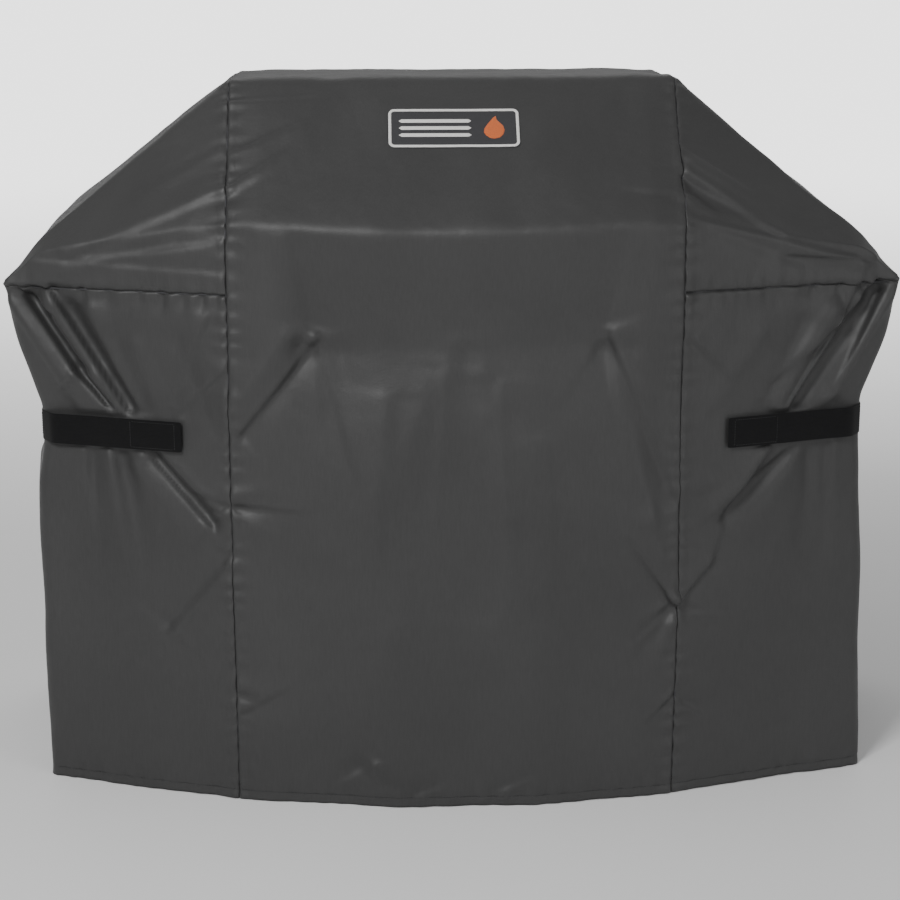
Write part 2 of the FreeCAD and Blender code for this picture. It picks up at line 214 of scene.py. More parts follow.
def skirt_run(half):
    """A skirt's outline seen from above: its front, side and back, each evenly divided."""
    mid = half - CORNER / 2
    front_mid = SIDE_FRONT - CORNER / 2 + CORNER_LEAD / 2
    back_mid = SIDE_BACK - CORNER / 2 + CORNER_TRAIL / 2
    front = [(SEAM_X + (mid - SEAM_X) * t, -(SEAM_FRONT + (front_mid - SEAM_FRONT) * t))
             for t in SHOULDER_SHARES]
    side = []
    for k in range(1, OVER_CELLS):
        y = -front_mid + (back_mid + front_mid) * k / OVER_CELLS
        inset = max(0.0, CORNER / 2 - min(y + front_mid, back_mid - y))
        side.append((half - inset, y))
    back = [(SEAM_X + (mid - SEAM_X) * t, SEAM_BACK + (back_mid - SEAM_BACK) * t)
            for t in SHOULDER_SHARES[::-1]]
    return front + side + back


class Cloth:
    """The welded cover: its points, its quads and the panel that each quad belongs to."""

    def __init__(self):
        self.points = []
        self.quads = []
        self.panels = []

    def add(self, x, y, z):
        self.points.append((x, y, z))
        return len(self.points) - 1

    def skin(self, grid, panel, flip):
        """Quads between the rows of a grid of point numbers."""
        for a, b in zip(grid, grid[1:]):
            for k in range(len(a) - 1):
                quad = (a[k], b[k], b[k + 1], a[k + 1])
                self.quads.append(quad[::-1] if flip else quad)
                self.panels.append(panel)


PANELS = ("centre", "left_shoulder", "right_shoulder", "left_skirt", "right_skirt")


def make_centre(cloth):
    drop = np.linspace(0, SHELF_Z, CELLS_DROP + 1)
    grid = []
    for x in (spaced(CELLS_ACROSS, 0.6) * 2 - 1) * SEAM_X:
        front = [cloth.add(x, -float(front_depth(x, z)), z) for z in drop[:-1]]
        over = [cloth.add(x, y, z) for y, z in walk(over_points(x))]
        back = [cloth.add(x, back_depth(x), z) for z in drop[-2::-1]]
        grid.append(front + over + back)
    cloth.skin(grid, PANELS.index("centre"), False)
    return grid


def make_side(cloth, side, seam):
    """A shoulder and a skirt, welded to the side column of the centre panel."""
    sign = SIDES[side]
    drop = np.linspace(SHELF_Z, 0, CELLS_DROP + 1)
    rim = skirt_run(SHELF_X)
    shoulder = [seam[CELLS_DROP:CELLS_DROP + OVER_CELLS + 1]]
    for i in range(1, CELLS_SHOULDER + 1):
        x = SEAM_X + (SHELF_X - SEAM_X) * SHOULDER_SHARES[i]
        points = [(x, y, z) for y, z in walk(shoulder_points(x))]
        if i == CELLS_SHOULDER:
            points = [(*p, SHELF_Z) for p in rim[CELLS_SHOULDER:CELLS_SHOULDER + OVER_CELLS + 1]]
        else:
            points[0] = (*rim[i], SHELF_Z)
            points[-1] = (*rim[len(rim) - 1 - i], SHELF_Z)
        shoulder.append([cloth.add(sign * px, py, pz) for px, py, pz in points])
    cloth.skin(shoulder, PANELS.index(f"{side}_shoulder"), side == "left")

    top = [row[0] for row in shoulder] + shoulder[-1][1:-1] + [row[-1] for row in shoulder[::-1]]
    front_seam = seam[CELLS_DROP::-1]
    back_seam = seam[CELLS_DROP + OVER_CELLS:]
    runs = [skirt_run(skirt_half(side, z)) for z in drop]
    skirt = [front_seam]
    for k in range(1, len(rim) - 1):
        column = [top[k]]
        column += [cloth.add(sign * runs[j][k][0], runs[j][k][1], drop[j]) for j in range(1, CELLS_DROP + 1)]
        skirt.append(column)
    skirt.append(back_seam)
    cloth.skin(skirt, PANELS.index(f"{side}_skirt"), side == "right")
    return shoulder, skirt


# ---------------------------------------------------------------- mesh arithmetic

def edges_of(quads):
    pairs = np.vstack([quads[:, [k, (k + 1) % 4]] for k in range(4)])
    return np.unique(np.sort(pairs, axis=1), axis=0)


def normals_of(points, quads):
    across_one = points[quads[:, 2]] - points[quads[:, 0]]
    across_two = points[quads[:, 3]] - points[quads[:, 1]]
    face = np.cross(across_one, across_two)
    out = np.zeros_like(points)
    for k in range(4):
        np.add.at(out, quads[:, k], face)
    return out / np.maximum(np.linalg.norm(out, axis=1, keepdims=True), 1e-12)


def relax(points, edges, rounds, strength, held=None):
    """Moves each point part of the way to the middle of its neighbours."""
    count = np.zeros(len(points))
    np.add.at(count, edges[:, 0], 1)
    np.add.at(count, edges[:, 1], 1)
    for _ in range(rounds):
        total = np.zeros_like(points)
        np.add.at(total, edges[:, 0], points[edges[:, 1]])
        np.add.at(total, edges[:, 1], points[edges[:, 0]])
        step = (total / count[:, None] - points) * strength
        if held is not None:
            step *= (1 - held)[:, None]
        points = points + step
    return points


def wander(points, scale, seed):
    """Smooth noise from -1 to 1. scale is the size of its lumps along X, Y and Z."""
    shift = Vector((seed * 7.3, seed * 3.1, seed * 5.7))
    return np.array([noise.noise(Vector(p) + shift) for p in points / np.array(scale)])


# ---------------------------------------------------------------- folds

def on_front(x, z):
    """The point of the unfolded front at (x, z), below the lid's edge or on a shoulder's front."""
    if abs(x) <= SEAM_X:
        crease = float(crease_level(x))
        slope = np.clip((z - crease) / (roof_level(x, -LID_FRONT) - crease), 0, 1)
        depth = float(front_depth(x, min(z, crease)))
        return np.array((x, -(depth + (LID_FRONT - depth) * slope), z))
    if z > SHELF_Z:
        corners = shoulder_points(abs(x))
        heights = [corners[0][1], corners[1][1], corners[2][1]]
        return np.array((x, float(np.interp(z, heights, [c[0] for c in corners[:3]])), z))
    run = skirt_run(skirt_half("left" if x < 0 else "right", z))[:CELLS_SHOULDER + 1]
    return np.array((x, float(np.interp(abs(x), [p[0] for p in run], [p[1] for p in run])), z))


def on_side(side, y, z):
    return np.array((SIDES[side] * skirt_half(side, z), y, z))


def on_back(x, z):
    point = on_front(x, min(z, PANEL_Z))
    back = SEAM_BACK if abs(x) > SEAM_X else HALF_DEPTH
    reach = np.interp(abs(x), (0, FLAT_X, SEAM_X, SHELF_X), (HALF_DEPTH, HALF_DEPTH, back, SIDE_BACK))
    return np.array((point[0], float(reach), z))


def fold(points, start, end, height, width):
    """A ridge (height above 0) or a valley along a line: (at start, at end) heights and widths."""
    run = end - start
    t = np.clip((points - start) @ run / (run @ run), -0.25, 1.25)
    near = start + t[:, None] * run
    away = np.linalg.norm(points - near, axis=1)
    t = np.clip(t, 0, 1)
    wide = width[0] + (width[1] - width[0]) * t
    past = np.maximum(0, np.abs(((points - start) @ run / (run @ run)) - 0.5) - 0.5)
    fade = np.exp(-(past * np.linalg.norm(run) / (0.6 * wide)) ** 2)
    crest = np.exp(-2.0 * (np.sqrt((away / wide) ** 2 + 0.09) - 0.3))
    return (height[0] + (height[1] - height[0]) * t) * crest * fade


# Folds of the front, as start (x, z), end (x, z), heights in mm and widths in mm.
CENTRE_FOLDS = [
    # from the control panel's left corner
    ((-0.204, 0.708), (-0.204, 0.700), (5, 5), (14, 14)),
    ((-0.212, 0.700), (-0.309, 0.562), (-6, -2), (12, 20)),
    ((-0.236, 0.716), (-0.322, 0.600), (4, 2), (14, 16)),
    ((-0.204, 0.700), (-0.190, 0.480), (5, 1), (14, 38)),
    ((-0.165, 0.690), (-0.150, 0.500), (-2.5, 0), (18, 36)),
    # from its right corner
    ((0.217, 0.709), (0.217, 0.701), (1, 1), (20, 20)),
    ((0.217, 0.700), (0.281, 0.438), (6, 3), (12, 22)),
    ((0.281, 0.438), (0.319, 0.303), (3, 3), (22, 12)),
    ((0.211, 0.690), (0.235, 0.540), (-5, -1), (13, 28)),
    ((0.250, 0.690), (0.312, 0.500), (-3, -1), (14, 18)),
    # from the middle of its edge
    ((0.000, 0.700), (-0.121, 0.449), (3.5, 1), (18, 40)),
    ((0.028, 0.700), (0.086, 0.448), (3.5, 1.5), (16, 26)),
    ((0.014, 0.690), (-0.010, 0.460), (-2.5, -1), (18, 50)),
    ((0.068, 0.602), (0.113, 0.291), (-4, -1.5), (11, 24)),
    ((0.046, 0.600), (0.088, 0.300), (2.5, 1), (14, 26)),
    ((0.135, 0.560), (0.165, 0.300), (2.5, 0.5), (20, 36)),
    # where the side seams draw up
    ((-0.320, 0.455), (-0.229, 0.463), (-4, 0), (6, 14)),
    ((-0.320, 0.474), (-0.240, 0.492), (3, 0), (8, 14)),
    ((-0.320, 0.440), (-0.262, 0.415), (3, 0), (8, 14)),
    ((0.321, 0.296), (0.262, 0.214), (-5, -1), (7, 18)),
    ((0.321, 0.306), (0.246, 0.270), (3.5, 0), (8, 18)),
    ((0.320, 0.280), (0.292, 0.200), (3, 0), (8, 14)),
    ((-0.320, 0.165), (-0.255, 0.146), (-3, 0), (6, 14)),
    ((-0.320, 0.180), (-0.262, 0.172), (2.5, 0), (7, 12)),
    # just over the hem
    ((-0.150, 0.066), (-0.112, 0.030), (-4, -2), (10, 10)),
    ((-0.125, 0.076), (-0.078, 0.040), (3, 1), (12, 12)),
    ((-0.060, 0.020), (-0.050, 0.050), (-2.5, 0), (7, 12)),
]

# Folds of a skirt's front. X counts away from the middle on both sides.
SKIRT_FOLDS = {
    "left": [
        # pleats from the shelf to the strap
        ((0.640, 0.742), (0.545, 0.592), (6, 4), (12, 10)),
        ((0.618, 0.746), (0.505, 0.590), (-10, -7), (17, 9)),
        ((0.586, 0.748), (0.492, 0.590), (8, 6), (15, 8)),
        ((0.557, 0.736), (0.479, 0.590), (-9, -7), (14, 8)),
        ((0.526, 0.738), (0.464, 0.590), (6, 4), (16, 9)),
        ((0.500, 0.700), (0.450, 0.592), (-4, -3), (12, 8)),
        ((0.462, 0.690), (0.430, 0.600), (3, 2), (14, 10)),
        ((0.400, 0.700), (0.345, 0.560), (-2.5, -1), (14, 18)),
        # below the strap
        ((0.446, 0.520), (0.352, 0.424), (-8, -4), (9, 15)),
        ((0.426, 0.522), (0.334, 0.440), (5, 3), (10, 13)),
        ((0.470, 0.518), (0.388, 0.400), (4, 2), (10, 20)),
        ((0.486, 0.516), (0.452, 0.352), (-6, -1), (9, 26)),
        ((0.504, 0.516), (0.486, 0.340), (5, 1), (9, 26)),
        ((0.530, 0.516), (0.545, 0.360), (-3, 0), (10, 28)),
    ],
    "right": [
        ((0.641, 0.744), (0.548, 0.592), (6, 4), (12, 10)),
        ((0.622, 0.748), (0.508, 0.590), (-9, -7), (15, 9)),
        ((0.600, 0.742), (0.496, 0.590), (8, 6), (13, 8)),
        ((0.579, 0.728), (0.485, 0.590), (-10, -8), (14, 8)),
        ((0.550, 0.734), (0.470, 0.590), (7, 5), (16, 9)),
        ((0.515, 0.716), (0.455, 0.590), (-4, -3), (14, 8)),
        ((0.440, 0.700), (0.372, 0.600), (3, 1), (18, 16)),
        ((0.489, 0.518), (0.400, 0.424), (-8, -4), (9, 16)),
        ((0.468, 0.520), (0.378, 0.436), (5, 2), (10, 15)),
        ((0.506, 0.516), (0.440, 0.400), (4, 1), (10, 20)),
        ((0.528, 0.516), (0.520, 0.330), (-5, 0), (10, 28)),
        ((0.326, 0.300), (0.383, 0.236), (-4, 0), (7, 18)),
        ((0.328, 0.312), (0.392, 0.276), (3, 0), (8, 16)),
    ],
}

# Folds of a shoulder's front, from the side seam towards the shelf.
SHOULDER_FOLDS = {
    "left": [
        ((0.328, 0.912), (0.552, 0.792), (1, 2), (16, 18)),
        ((0.330, 0.880), (0.520, 0.786), (-2, -1.5), (18, 20)),
        ((0.328, 0.945), (0.410, 0.900), (-1, 0), (12, 18)),
    ],
    "right": [
        ((0.328, 0.920), (0.408, 0.858), (-5, -1), (9, 18)),
        ((0.328, 0.936), (0.430, 0.880), (4, 1), (10, 18)),
        ((0.328, 0.894), (0.600, 0.792), (3.5, 2), (14, 16)),
        ((0.332, 0.872), (0.540, 0.786), (-3.5, -2), (14, 16)),
        ((0.328, 0.958), (0.390, 0.930), (-2, 0), (8, 14)),
    ],
}


# Tucks of the front: the cloth on one side of a line stands out over the other. Each has a start
# and an end (x, z), the step in mm at its start and end, and how far it fades on the two sides in
# mm. Seen from the start, a step above 0 lifts the right side, whose fade is the first. In the
# lists for the left half of the cover, all of that is mirrored.
CENTRE_TUCKS = [
    # from the control panel's left corner
    ((-0.198, 0.704), (-0.309, 0.565), (7, 4), (34, 20)),
    ((-0.201, 0.700), (-0.135, 0.474), (-4, -1), (40, 46)),
    ((-0.236, 0.850), (-0.212, 0.720), (1.5, 2.5), (40, 44)),
    # from its right corner
    ((0.217, 0.708), (0.321, 0.461), (-7, -4), (20, 44)),
    ((0.217, 0.708), (0.146, 0.610), (2, 1), (30, 34)),
    ((0.245, 0.850), (0.222, 0.722), (-1, -2), (40, 44)),
    # the way the middle hangs
    ((0.056, 0.640), (0.066, 0.300), (-3.5, -1.5), (40, 50)),
    ((0.132, 0.560), (0.146, 0.330), (3, 1.5), (44, 46)),
    ((-0.090, 0.620), (-0.120, 0.300), (3, 1), (60, 60)),
    ((-0.020, 0.660), (-0.045, 0.380), (-3, -1), (44, 50)),
    # the lid's ends
    ((-0.321, 0.958), (-0.217, 0.998), (3.5, 1), (18, 26)),
    ((-0.318, 0.917), (-0.244, 0.960), (3, 1), (14, 22)),
    ((-0.321, 0.905), (-0.257, 0.937), (-2.5, -0.5), (12, 20)),
    ((-0.322, 1.025), (-0.190, 1.031), (2.5, 0.5), (16, 20)),
    ((0.322, 0.905), (0.236, 0.912), (3, 0.8), (14, 20)),
    ((0.322, 0.935), (0.262, 0.950), (-2, -0.5), (12, 18)),
    # the seams' own gathers
    ((-0.316, 0.458), (-0.226, 0.452), (-4.5, -1.5), (24, 14)),
    ((-0.320, 0.135), (-0.254, 0.178), (-3.5, -1), (14, 22)),
    ((0.321, 0.300), (0.250, 0.406), (7, 2), (16, 38)),
    ((0.321, 0.296), (0.271, 0.255), (-2.5, -1), (18, 26)),
    ((0.322, 0.161), (0.284, 0.121), (4, 1), (10, 18)),
    # over the hem
    ((-0.166, 0.039), (-0.119, 0.072), (2.5, 2.5), (16, 22)),
    ((-0.119, 0.072), (-0.100, 0.027), (4, 3), (16, 16)),
    ((-0.060, 0.018), (-0.030, 0.030), (3, 2), (8, 12)),
    ((0.060, 0.020), (0.110, 0.045), (3, 1), (10, 16)),
]

SIDE_TUCKS = {
    "left": [
        ((0.584, 0.762), (0.473, 0.578), (-9, -12), (16, 30)),
        ((0.621, 0.747), (0.552, 0.640), (-7, -9), (22, 26)),
        ((0.552, 0.640), (0.492, 0.578), (-9, -10), (12, 22)),
        ((0.624, 0.758), (0.584, 0.729), (5, 3), (10, 12)),
        ((0.352, 0.731), (0.411, 0.612), (-3, -2), (26, 26)),
        ((0.335, 0.652), (0.397, 0.592), (-3.5, -2), (18, 20)),
        ((0.450, 0.526), (0.358, 0.424), (-9, -6), (14, 26)),
        ((0.500, 0.526), (0.470, 0.350), (-7, -2), (26, 34)),
        ((0.540, 0.526), (0.530, 0.372), (-4, -1), (26, 30)),
        ((0.330, 0.458), (0.378, 0.472), (-4, -2), (14, 18)),
        ((0.330, 0.456), (0.372, 0.428), (3, 1), (14, 18)),
        ((0.330, 0.375), (0.420, 0.262), (4, 4), (44, 50)),
        ((0.420, 0.262), (0.530, 0.170), (3, 1), (40, 40)),
    ],
    "right": [
        ((0.612, 0.762), (0.488, 0.578), (10, 12), (22, 15)),
        ((0.589, 0.763), (0.567, 0.706), (5, 6), (26, 26)),
        ((0.567, 0.706), (0.473, 0.630), (6, 3), (26, 22)),
        ((0.632, 0.756), (0.560, 0.600), (-5, -5), (26, 18)),
        ((0.341, 0.693), (0.399, 0.636), (-3.5, -2), (22, 22)),
        ((0.466, 0.526), (0.393, 0.428), (9, 4), (24, 14)),
        ((0.500, 0.526), (0.368, 0.424), (5, 1), (24, 20)),
        ((0.560, 0.526), (0.566, 0.300), (-4, -1), (34, 34)),
        ((0.329, 0.304), (0.379, 0.358), (-5, -3), (14, 26)),
        ((0.379, 0.358), (0.396, 0.410), (-3, -1), (26, 26)),
        ((0.329, 0.292), (0.392, 0.276), (4, 1), (10, 20)),
        ((0.330, 0.150), (0.372, 0.118), (4, 1), (10, 18)),
    ],
}

SHOULDER_TUCKS = {
    "left": [
        ((0.328, 0.909), (0.557, 0.812), (-3, -2), (26, 36)),
        ((0.331, 0.843), (0.521, 0.811), (3, 2.5), (34, 26)),
        ((0.337, 0.798), (0.600, 0.806), (1.5, 1), (18, 16)),
        ((0.342, 0.960), (0.470, 0.890), (1.5, 0.5), (26, 30)),
    ],
    "right": [
        ((0.330, 0.925), (0.466, 0.843), (-5, -3), (16, 28)),
        ((0.330, 0.876), (0.597, 0.800), (4, 3), (20, 24)),
        ((0.480, 0.812), (0.615, 0.800), (-3.5, -2), (14, 16)),
        ((0.330, 0.960), (0.420, 0.905), (3, 1), (14, 22)),
    ],
}


TUCK_STRENGTH = 2.4

# Short gathers that hang from the shoulder seams: x, how long and how deep in mm.
GATHERS = {
    "left": [(0.340, 24, 5), (0.360, 36, 7), (0.386, 32, 6), (0.420, 44, 8), (0.455, 26, 6),
             (0.501, 34, 6), (0.536, 30, 6), (0.600, 34, 7)],
    "right": [(0.352, 22, 4), (0.462, 38, 6), (0.519, 34, 8), (0.560, 30, 6), (0.598, 38, 8)],
}


def tuck(places, start, end, step, fade, across_way):
    """A crisp step along a line that fades away on both sides of it."""
    run = end - start
    length = np.linalg.norm(run)
    t = (places - start) @ run / length ** 2
    past = np.maximum(0, np.abs(t - 0.5) - 0.5) * length
    held = np.clip(t, 0, 1)
    gap = places - (start + held[:, None] * run)
    away = np.linalg.norm(gap, axis=1)
    side = np.tanh((gap @ across_way) / (0.08 * (fade[0] + fade[1])))
    wide = np.where(side > 0, fade[0], fade[1]) * (0.6 + 0.4 * held)
    size = step[0] + (step[1] - step[0]) * held
    return 0.5 * size * side * np.exp(-away / wide) * np.exp(-(past / 0.010) ** 2)


def crisp_folds(points, normals):
    """How far the tucks and the gathers of the front lift the cloth. They are drawn in X and Z."""
    lift = np.zeros(len(points))
    front = np.nonzero(normals[:, 1] < -0.2)[0]
    places = points[front][:, (0, 2)]
    rows = [(*row, 1.0) for row in CENTRE_TUCKS]
    for name, sign in SIDES.items():
        rows += [(*row, sign) for row in SIDE_TUCKS[name] + SHOULDER_TUCKS[name]]
    for (ax, az), (bx, bz), step, fade, sign in rows:
        start, end = np.array((sign * ax, az)), np.array((sign * bx, bz))
        run = (end - start) / np.linalg.norm(end - start)
        across_way = sign * np.array((run[1], -run[0]))
        lift[front] += tuck(places, start, end, np.array(step) * TUCK_STRENGTH * MM,
                            np.array(fade) * MM, across_way)
    hanging = smooth((SHELF_Z + 0.002 - places[:, 1]) / 0.004)
    for name, sign in SIDES.items():
        for x, long, deep in GATHERS[name]:
            top = np.array((sign * x, SHELF_Z + 0.004))
            low = top - (sign * -0.12 * long * MM, long * MM)
            lift[front] -= hanging * fold(places, top, low, mm(deep, 0.5),
                                          mm(9, 15))
    return lift


def front_folds():
    """Every fold of the front, as 3-D start and end, heights and widths in metres."""
    rows = [(a, b, h, w, 1.0) for a, b, h, w in CENTRE_FOLDS]
    for side, sign in SIDES.items():
        for a, b, h, w in SKIRT_FOLDS[side] + SHOULDER_FOLDS[side]:
            rows.append((a, b, h, w, sign))
    for (ax, az), (bx, bz), high, wide, sign in rows:
        yield (on_front(sign * ax, az), on_front(sign * bx, bz),
               np.array(high) * MM, np.array(wide) * MM)


def other_folds():
    """Folds of the sides and the back, drawn at random along the way the cloth hangs."""
    rng = np.random.default_rng(11)
    for side in SIDES:
        # The strap's sewn end gathers the side from the shelf above and lets it out below.
        for y in (-0.150, -0.115, -0.060, 0.010, 0.100):
            pull = -0.118 + 0.25 * (y + 0.118)
            deep = rng.uniform(3, 7)
            yield (on_side(side, y, 0.748), on_side(side, pull, 0.592),
                   mm(-deep, -deep * 0.8), mm(16, 9))
            yield (on_side(side, y + 0.02, 0.745), on_side(side, pull + 0.014, 0.592),
                   mm(deep * 0.8, deep * 0.6), mm(15, 9))
        for y in (-0.140, -0.100, -0.060, 0.0, 0.080, 0.170):
            deep = rng.uniform(2, 5) * rng.choice((-1, 1))
            yield (on_side(side, y, 0.515), on_side(side, y * 1.2 + 0.02, rng.uniform(0.25, 0.38)),
                   mm(deep, 0), mm(10, 26))
        # The back corner hangs from the shelf.
        for x in (0.630, 0.590, 0.540, 0.480):
            deep = rng.uniform(3, 7) * rng.choice((-1, 1))
            yield (on_back(SIDES[side] * x, 0.750), on_back(SIDES[side] * (x - 0.03), rng.uniform(0.45, 0.6)),
                   mm(deep, deep * 0.2), mm(13, 30))
    for x in np.linspace(-0.56, 0.56, 15):
        top = rng.uniform(0.45, 0.72)
        deep = rng.uniform(1.5, 4.5) * rng.choice((-1, 1))
        yield (on_back(x, top), on_back(x + rng.uniform(-0.05, 0.05), rng.uniform(0.12, 0.3)),
               mm(deep, deep * 0.4), mm(16, 36))


def strap_hold(points):
    """1 where the strap holds the skirt's front and side flat, fading to 0 beyond it."""
    over = np.maximum(STRAP_LOW - points[:, 2], points[:, 2] - STRAP_HIGH)
    level = 1 - smooth(over / STRAP_FADE)
    along = smooth((np.abs(points[:, 0]) - 0.375) / 0.02)
    ahead = smooth((-0.075 - points[:, 1]) / 0.03)
    return level * along * ahead


def badge_hold(points):
    """1 on the part of the lid's slope that the badge lies on."""
    wide = 1 - smooth((np.abs(points[:, 0]) - 0.100) / 0.03)
    level = smooth((points[:, 2] - 0.955) / 0.015) * (1 - smooth((points[:, 2] - 1.03) / 0.02))
    return wide * level * (points[:, 1] < 0)


FOLD_STRENGTH = 1.7


def fold_cloth(points, quads, edges):
    """Pulls the smooth cover into its folds."""
    normals = normals_of(points, quads)
    lift = np.zeros(len(points))
    for start, end, high, wide in list(front_folds()) + list(other_folds()):
        lift += FOLD_STRENGTH * fold(points, start, end, high, wide)
    z = points[:, 2]
    hanging = 1 - smooth((z - 0.60) / 0.12)
    lift += 5.5 * MM * hanging * wander(points, (0.10, 0.10, 0.50), 1)
    lift += 4.0 * MM * wander(points, (0.13, 0.13, 0.18), 2)
    lift += 1.5 * MM * wander(points, (0.050, 0.050, 0.08), 3)
    lift *= (1 - strap_hold(points)) * (1 - 0.85 * badge_hold(points))
    points = points + normals * lift[:, None]
    return relax(points, edges, 1, 0.35)


# ---------------------------------------------------------------- seams and hem at full detail

HEM_STITCH_Z = 0.015


class Line:
    """A seam on the cloth: samples along it, for how near a point is and how far along."""

    def __init__(self, points):
        self.points = np.array(points)
        steps = np.linalg.norm(np.diff(self.points, axis=0), axis=1)
        self.along = np.concatenate(([0.0], np.cumsum(steps)))

    def near(self, points):
        """Distance to the line and length along it, for every point. Far points read 1 m."""
        away = np.full(len(points), 1.0)
        along = np.zeros(len(points))
        low, high = self.points.min(axis=0) - 0.06, self.points.max(axis=0) + 0.06
        close = np.nonzero(np.all((points > low) & (points < high), axis=1))[0]
        for part in np.array_split(close, max(1, len(close) // 4000)):
            gaps = np.linalg.norm(points[part][:, None, :] - self.points[None, :, :], axis=2)
            nearest = gaps.argmin(axis=1)
            away[part] = gaps[np.arange(len(part)), nearest]
            along[part] = self.along[nearest]
        return away, along


def pucker_wave(along, seed, pitch):
    """An uneven wave along a seam: sharp little tucks of changing size."""
    phase = np.array([noise.noise(Vector((a / 0.07, seed, 0.3))) for a in along])
    size = np.array([noise.noise(Vector((a / 0.11, 4.7, seed))) for a in along])
    return np.sin(2 * math.pi * along / pitch + 5.0 * phase) * (0.55 + 0.9 * np.clip(size + 0.25, 0, 1))


def seam_detail(points, line, seed, groove, pucker, reach, pitch):
    """How far a seam lifts or sinks the cloth near it."""
    away, along = line.near(points)
    near = np.nonzero(away < 0.06)[0]
    lift = np.zeros(len(points))
    d = away[near]
    lift[near] -= groove * np.exp(-(d / 0.0018) ** 2)
    lift[near] += 0.35 * groove * np.exp(-((d - 0.008) / 0.005) ** 2)
    wave = pucker_wave(along[near], seed, pitch)
    lift[near] += pucker * wave * np.exp(-(d / reach) ** 2) * smooth(d / 0.003)
    return lift


def hem_detail(points):
    """The stitched hem: little puckers and a slight groove along its stitching. Its edge is made uneven
    later, in detail_cover.
    """
    z = points[:, 2]
    near = np.nonzero(z < 0.07)[0]
    lift = np.zeros(len(points))
    angle = np.arctan2(points[near, 1] / HALF_DEPTH, points[near, 0] / HEM_X)
    along = angle * 0.55
    wave = pucker_wave(along, 9.1, 0.034)
    height = z[near]
    lift[near] += 1.7 * MM * wave * np.exp(-((height - 0.016) / 0.020) ** 2)
    lift[near] -= 0.8 * MM * np.exp(-((height - HEM_STITCH_Z) / 0.0035) ** 2)
    return lift


def linked(name, data):
    """A new object in the scene."""
    obj = bpy.data.objects.new(name, data)
    bpy.context.scene.collection.objects.link(obj)
    return obj


def set_mesh(name, points, faces, panels=None):
    mesh = bpy.data.meshes.new(name)
    mesh.from_pydata([tuple(p) for p in points], [], [tuple(int(i) for i in face) for face in faces])
    if panels is not None:
        mesh.attributes.new("panel", "INT", "FACE").data.foreach_set("value", np.array(panels, np.int32))
    mesh.update()
    return linked(name, mesh)


def applied(obj):
    """The object's mesh with its modifiers applied. The object keeps it, and has no modifiers."""
    mesh = bpy.data.meshes.new_from_object(obj.evaluated_get(bpy.context.evaluated_depsgraph_get()))
    obj.modifiers.clear()
    old = obj.data
    obj.data = mesh
    mesh.name = obj.name
    bpy.data.meshes.remove(old)
    return mesh


def mesh_points(mesh):
    flat = np.zeros(len(mesh.vertices) * 3)
    mesh.vertices.foreach_get("co", flat)
    return flat.reshape(-1, 3)


def mesh_quads(mesh):
    flat = np.zeros(len(mesh.loops), np.int32)
    mesh.loops.foreach_get("vertex_index", flat)
    return flat.reshape(-1, 4)


def weigh(obj, name, weights):
    """A vertex group with these weights, to the nearest twentieth."""
    group = obj.vertex_groups.new(name=name)
    level = np.round(np.clip(weights, 0, 1) * 20).astype(int)
    for step in range(1, 21):
        group.add(np.nonzero(level == step)[0].tolist(), step / 20, "REPLACE")


SPARE_WIDTH = 0.02       # share by which the cut is wider than the grill
SLACK_MOST = 0.04        # and by which the slackest cloth is longer
SETTLE_FRAMES = 16
SETTLE_CAP = 0.012       # the simulation moves no point further than this


def settle(points, quads, held, slack):
    """A cloth simulation. Slack cloth buckles, and held cloth stays where it was put."""
    obj = set_mesh("draping", points, quads)
    obj.shape_key_add(name="start")
    cut = obj.shape_key_add(name="cut")
    # The cut is wider than the grill, and no longer: that gives folds that hang.
    wider = 1 + SPARE_WIDTH * (1 - smooth((points[:, 2] - 0.74) / 0.12))[:, None] * (1, 1, 0)
    cut.data.foreach_set("co", (points * wider).ravel())
    cut.value = 0.0
    weigh(obj, "held", held)
    weigh(obj, "slack", slack)
    modifier = obj.modifiers.new("Cloth", "CLOTH")
    cloth = modifier.settings
    cloth.rest_shape_key = cut
    cloth.quality = 5
    cloth.mass = 0.15
    cloth.tension_stiffness = 40
    cloth.compression_stiffness = 40
    cloth.shear_stiffness = 15
    cloth.bending_stiffness = 0.25
    cloth.tension_damping = cloth.compression_damping = cloth.shear_damping = 8
    cloth.air_damping = 3
    cloth.vertex_group_mass = "held"
    cloth.pin_stiffness = 2.0
    cloth.vertex_group_shrink = "slack"
    cloth.shrink_min = 0.0
    cloth.shrink_max = -SLACK_MOST
    cloth.effector_weights.gravity = 0.12
    modifier.collision_settings.use_collision = False
    for frame_number in range(1, SETTLE_FRAMES + 1):
        bpy.context.scene.frame_set(frame_number)
    settled = mesh_points(applied(obj))
    bpy.context.scene.frame_set(1)
    bpy.data.objects.remove(obj)
    step = settled - points
    length = np.linalg.norm(step, axis=1, keepdims=True)
    return points + step * np.minimum(1.0, SETTLE_CAP / np.maximum(length, 1e-9))


def cover_slack(points, lines):
    """How much spare cloth each place has, from 0 to 1: most beside the seams and at the straps."""
    slack = np.full(len(points), 0.06)
    for line in lines:
        away, _ = line.near(points)
        slack = np.maximum(slack, 0.75 * np.exp(-(away / 0.035) ** 2))
    pleats = np.exp(-((points[:, 2] - 0.60) / 0.12) ** 2) * smooth((np.abs(points[:, 0]) - 0.36) / 0.05)
    slack = np.maximum(slack, 0.8 * pleats * (points[:, 1] < 0.05))
    slack = np.maximum(slack, 0.5 * np.exp(-(points[:, 2] / 0.03) ** 2))
    return slack * (1 - badge_hold(points))


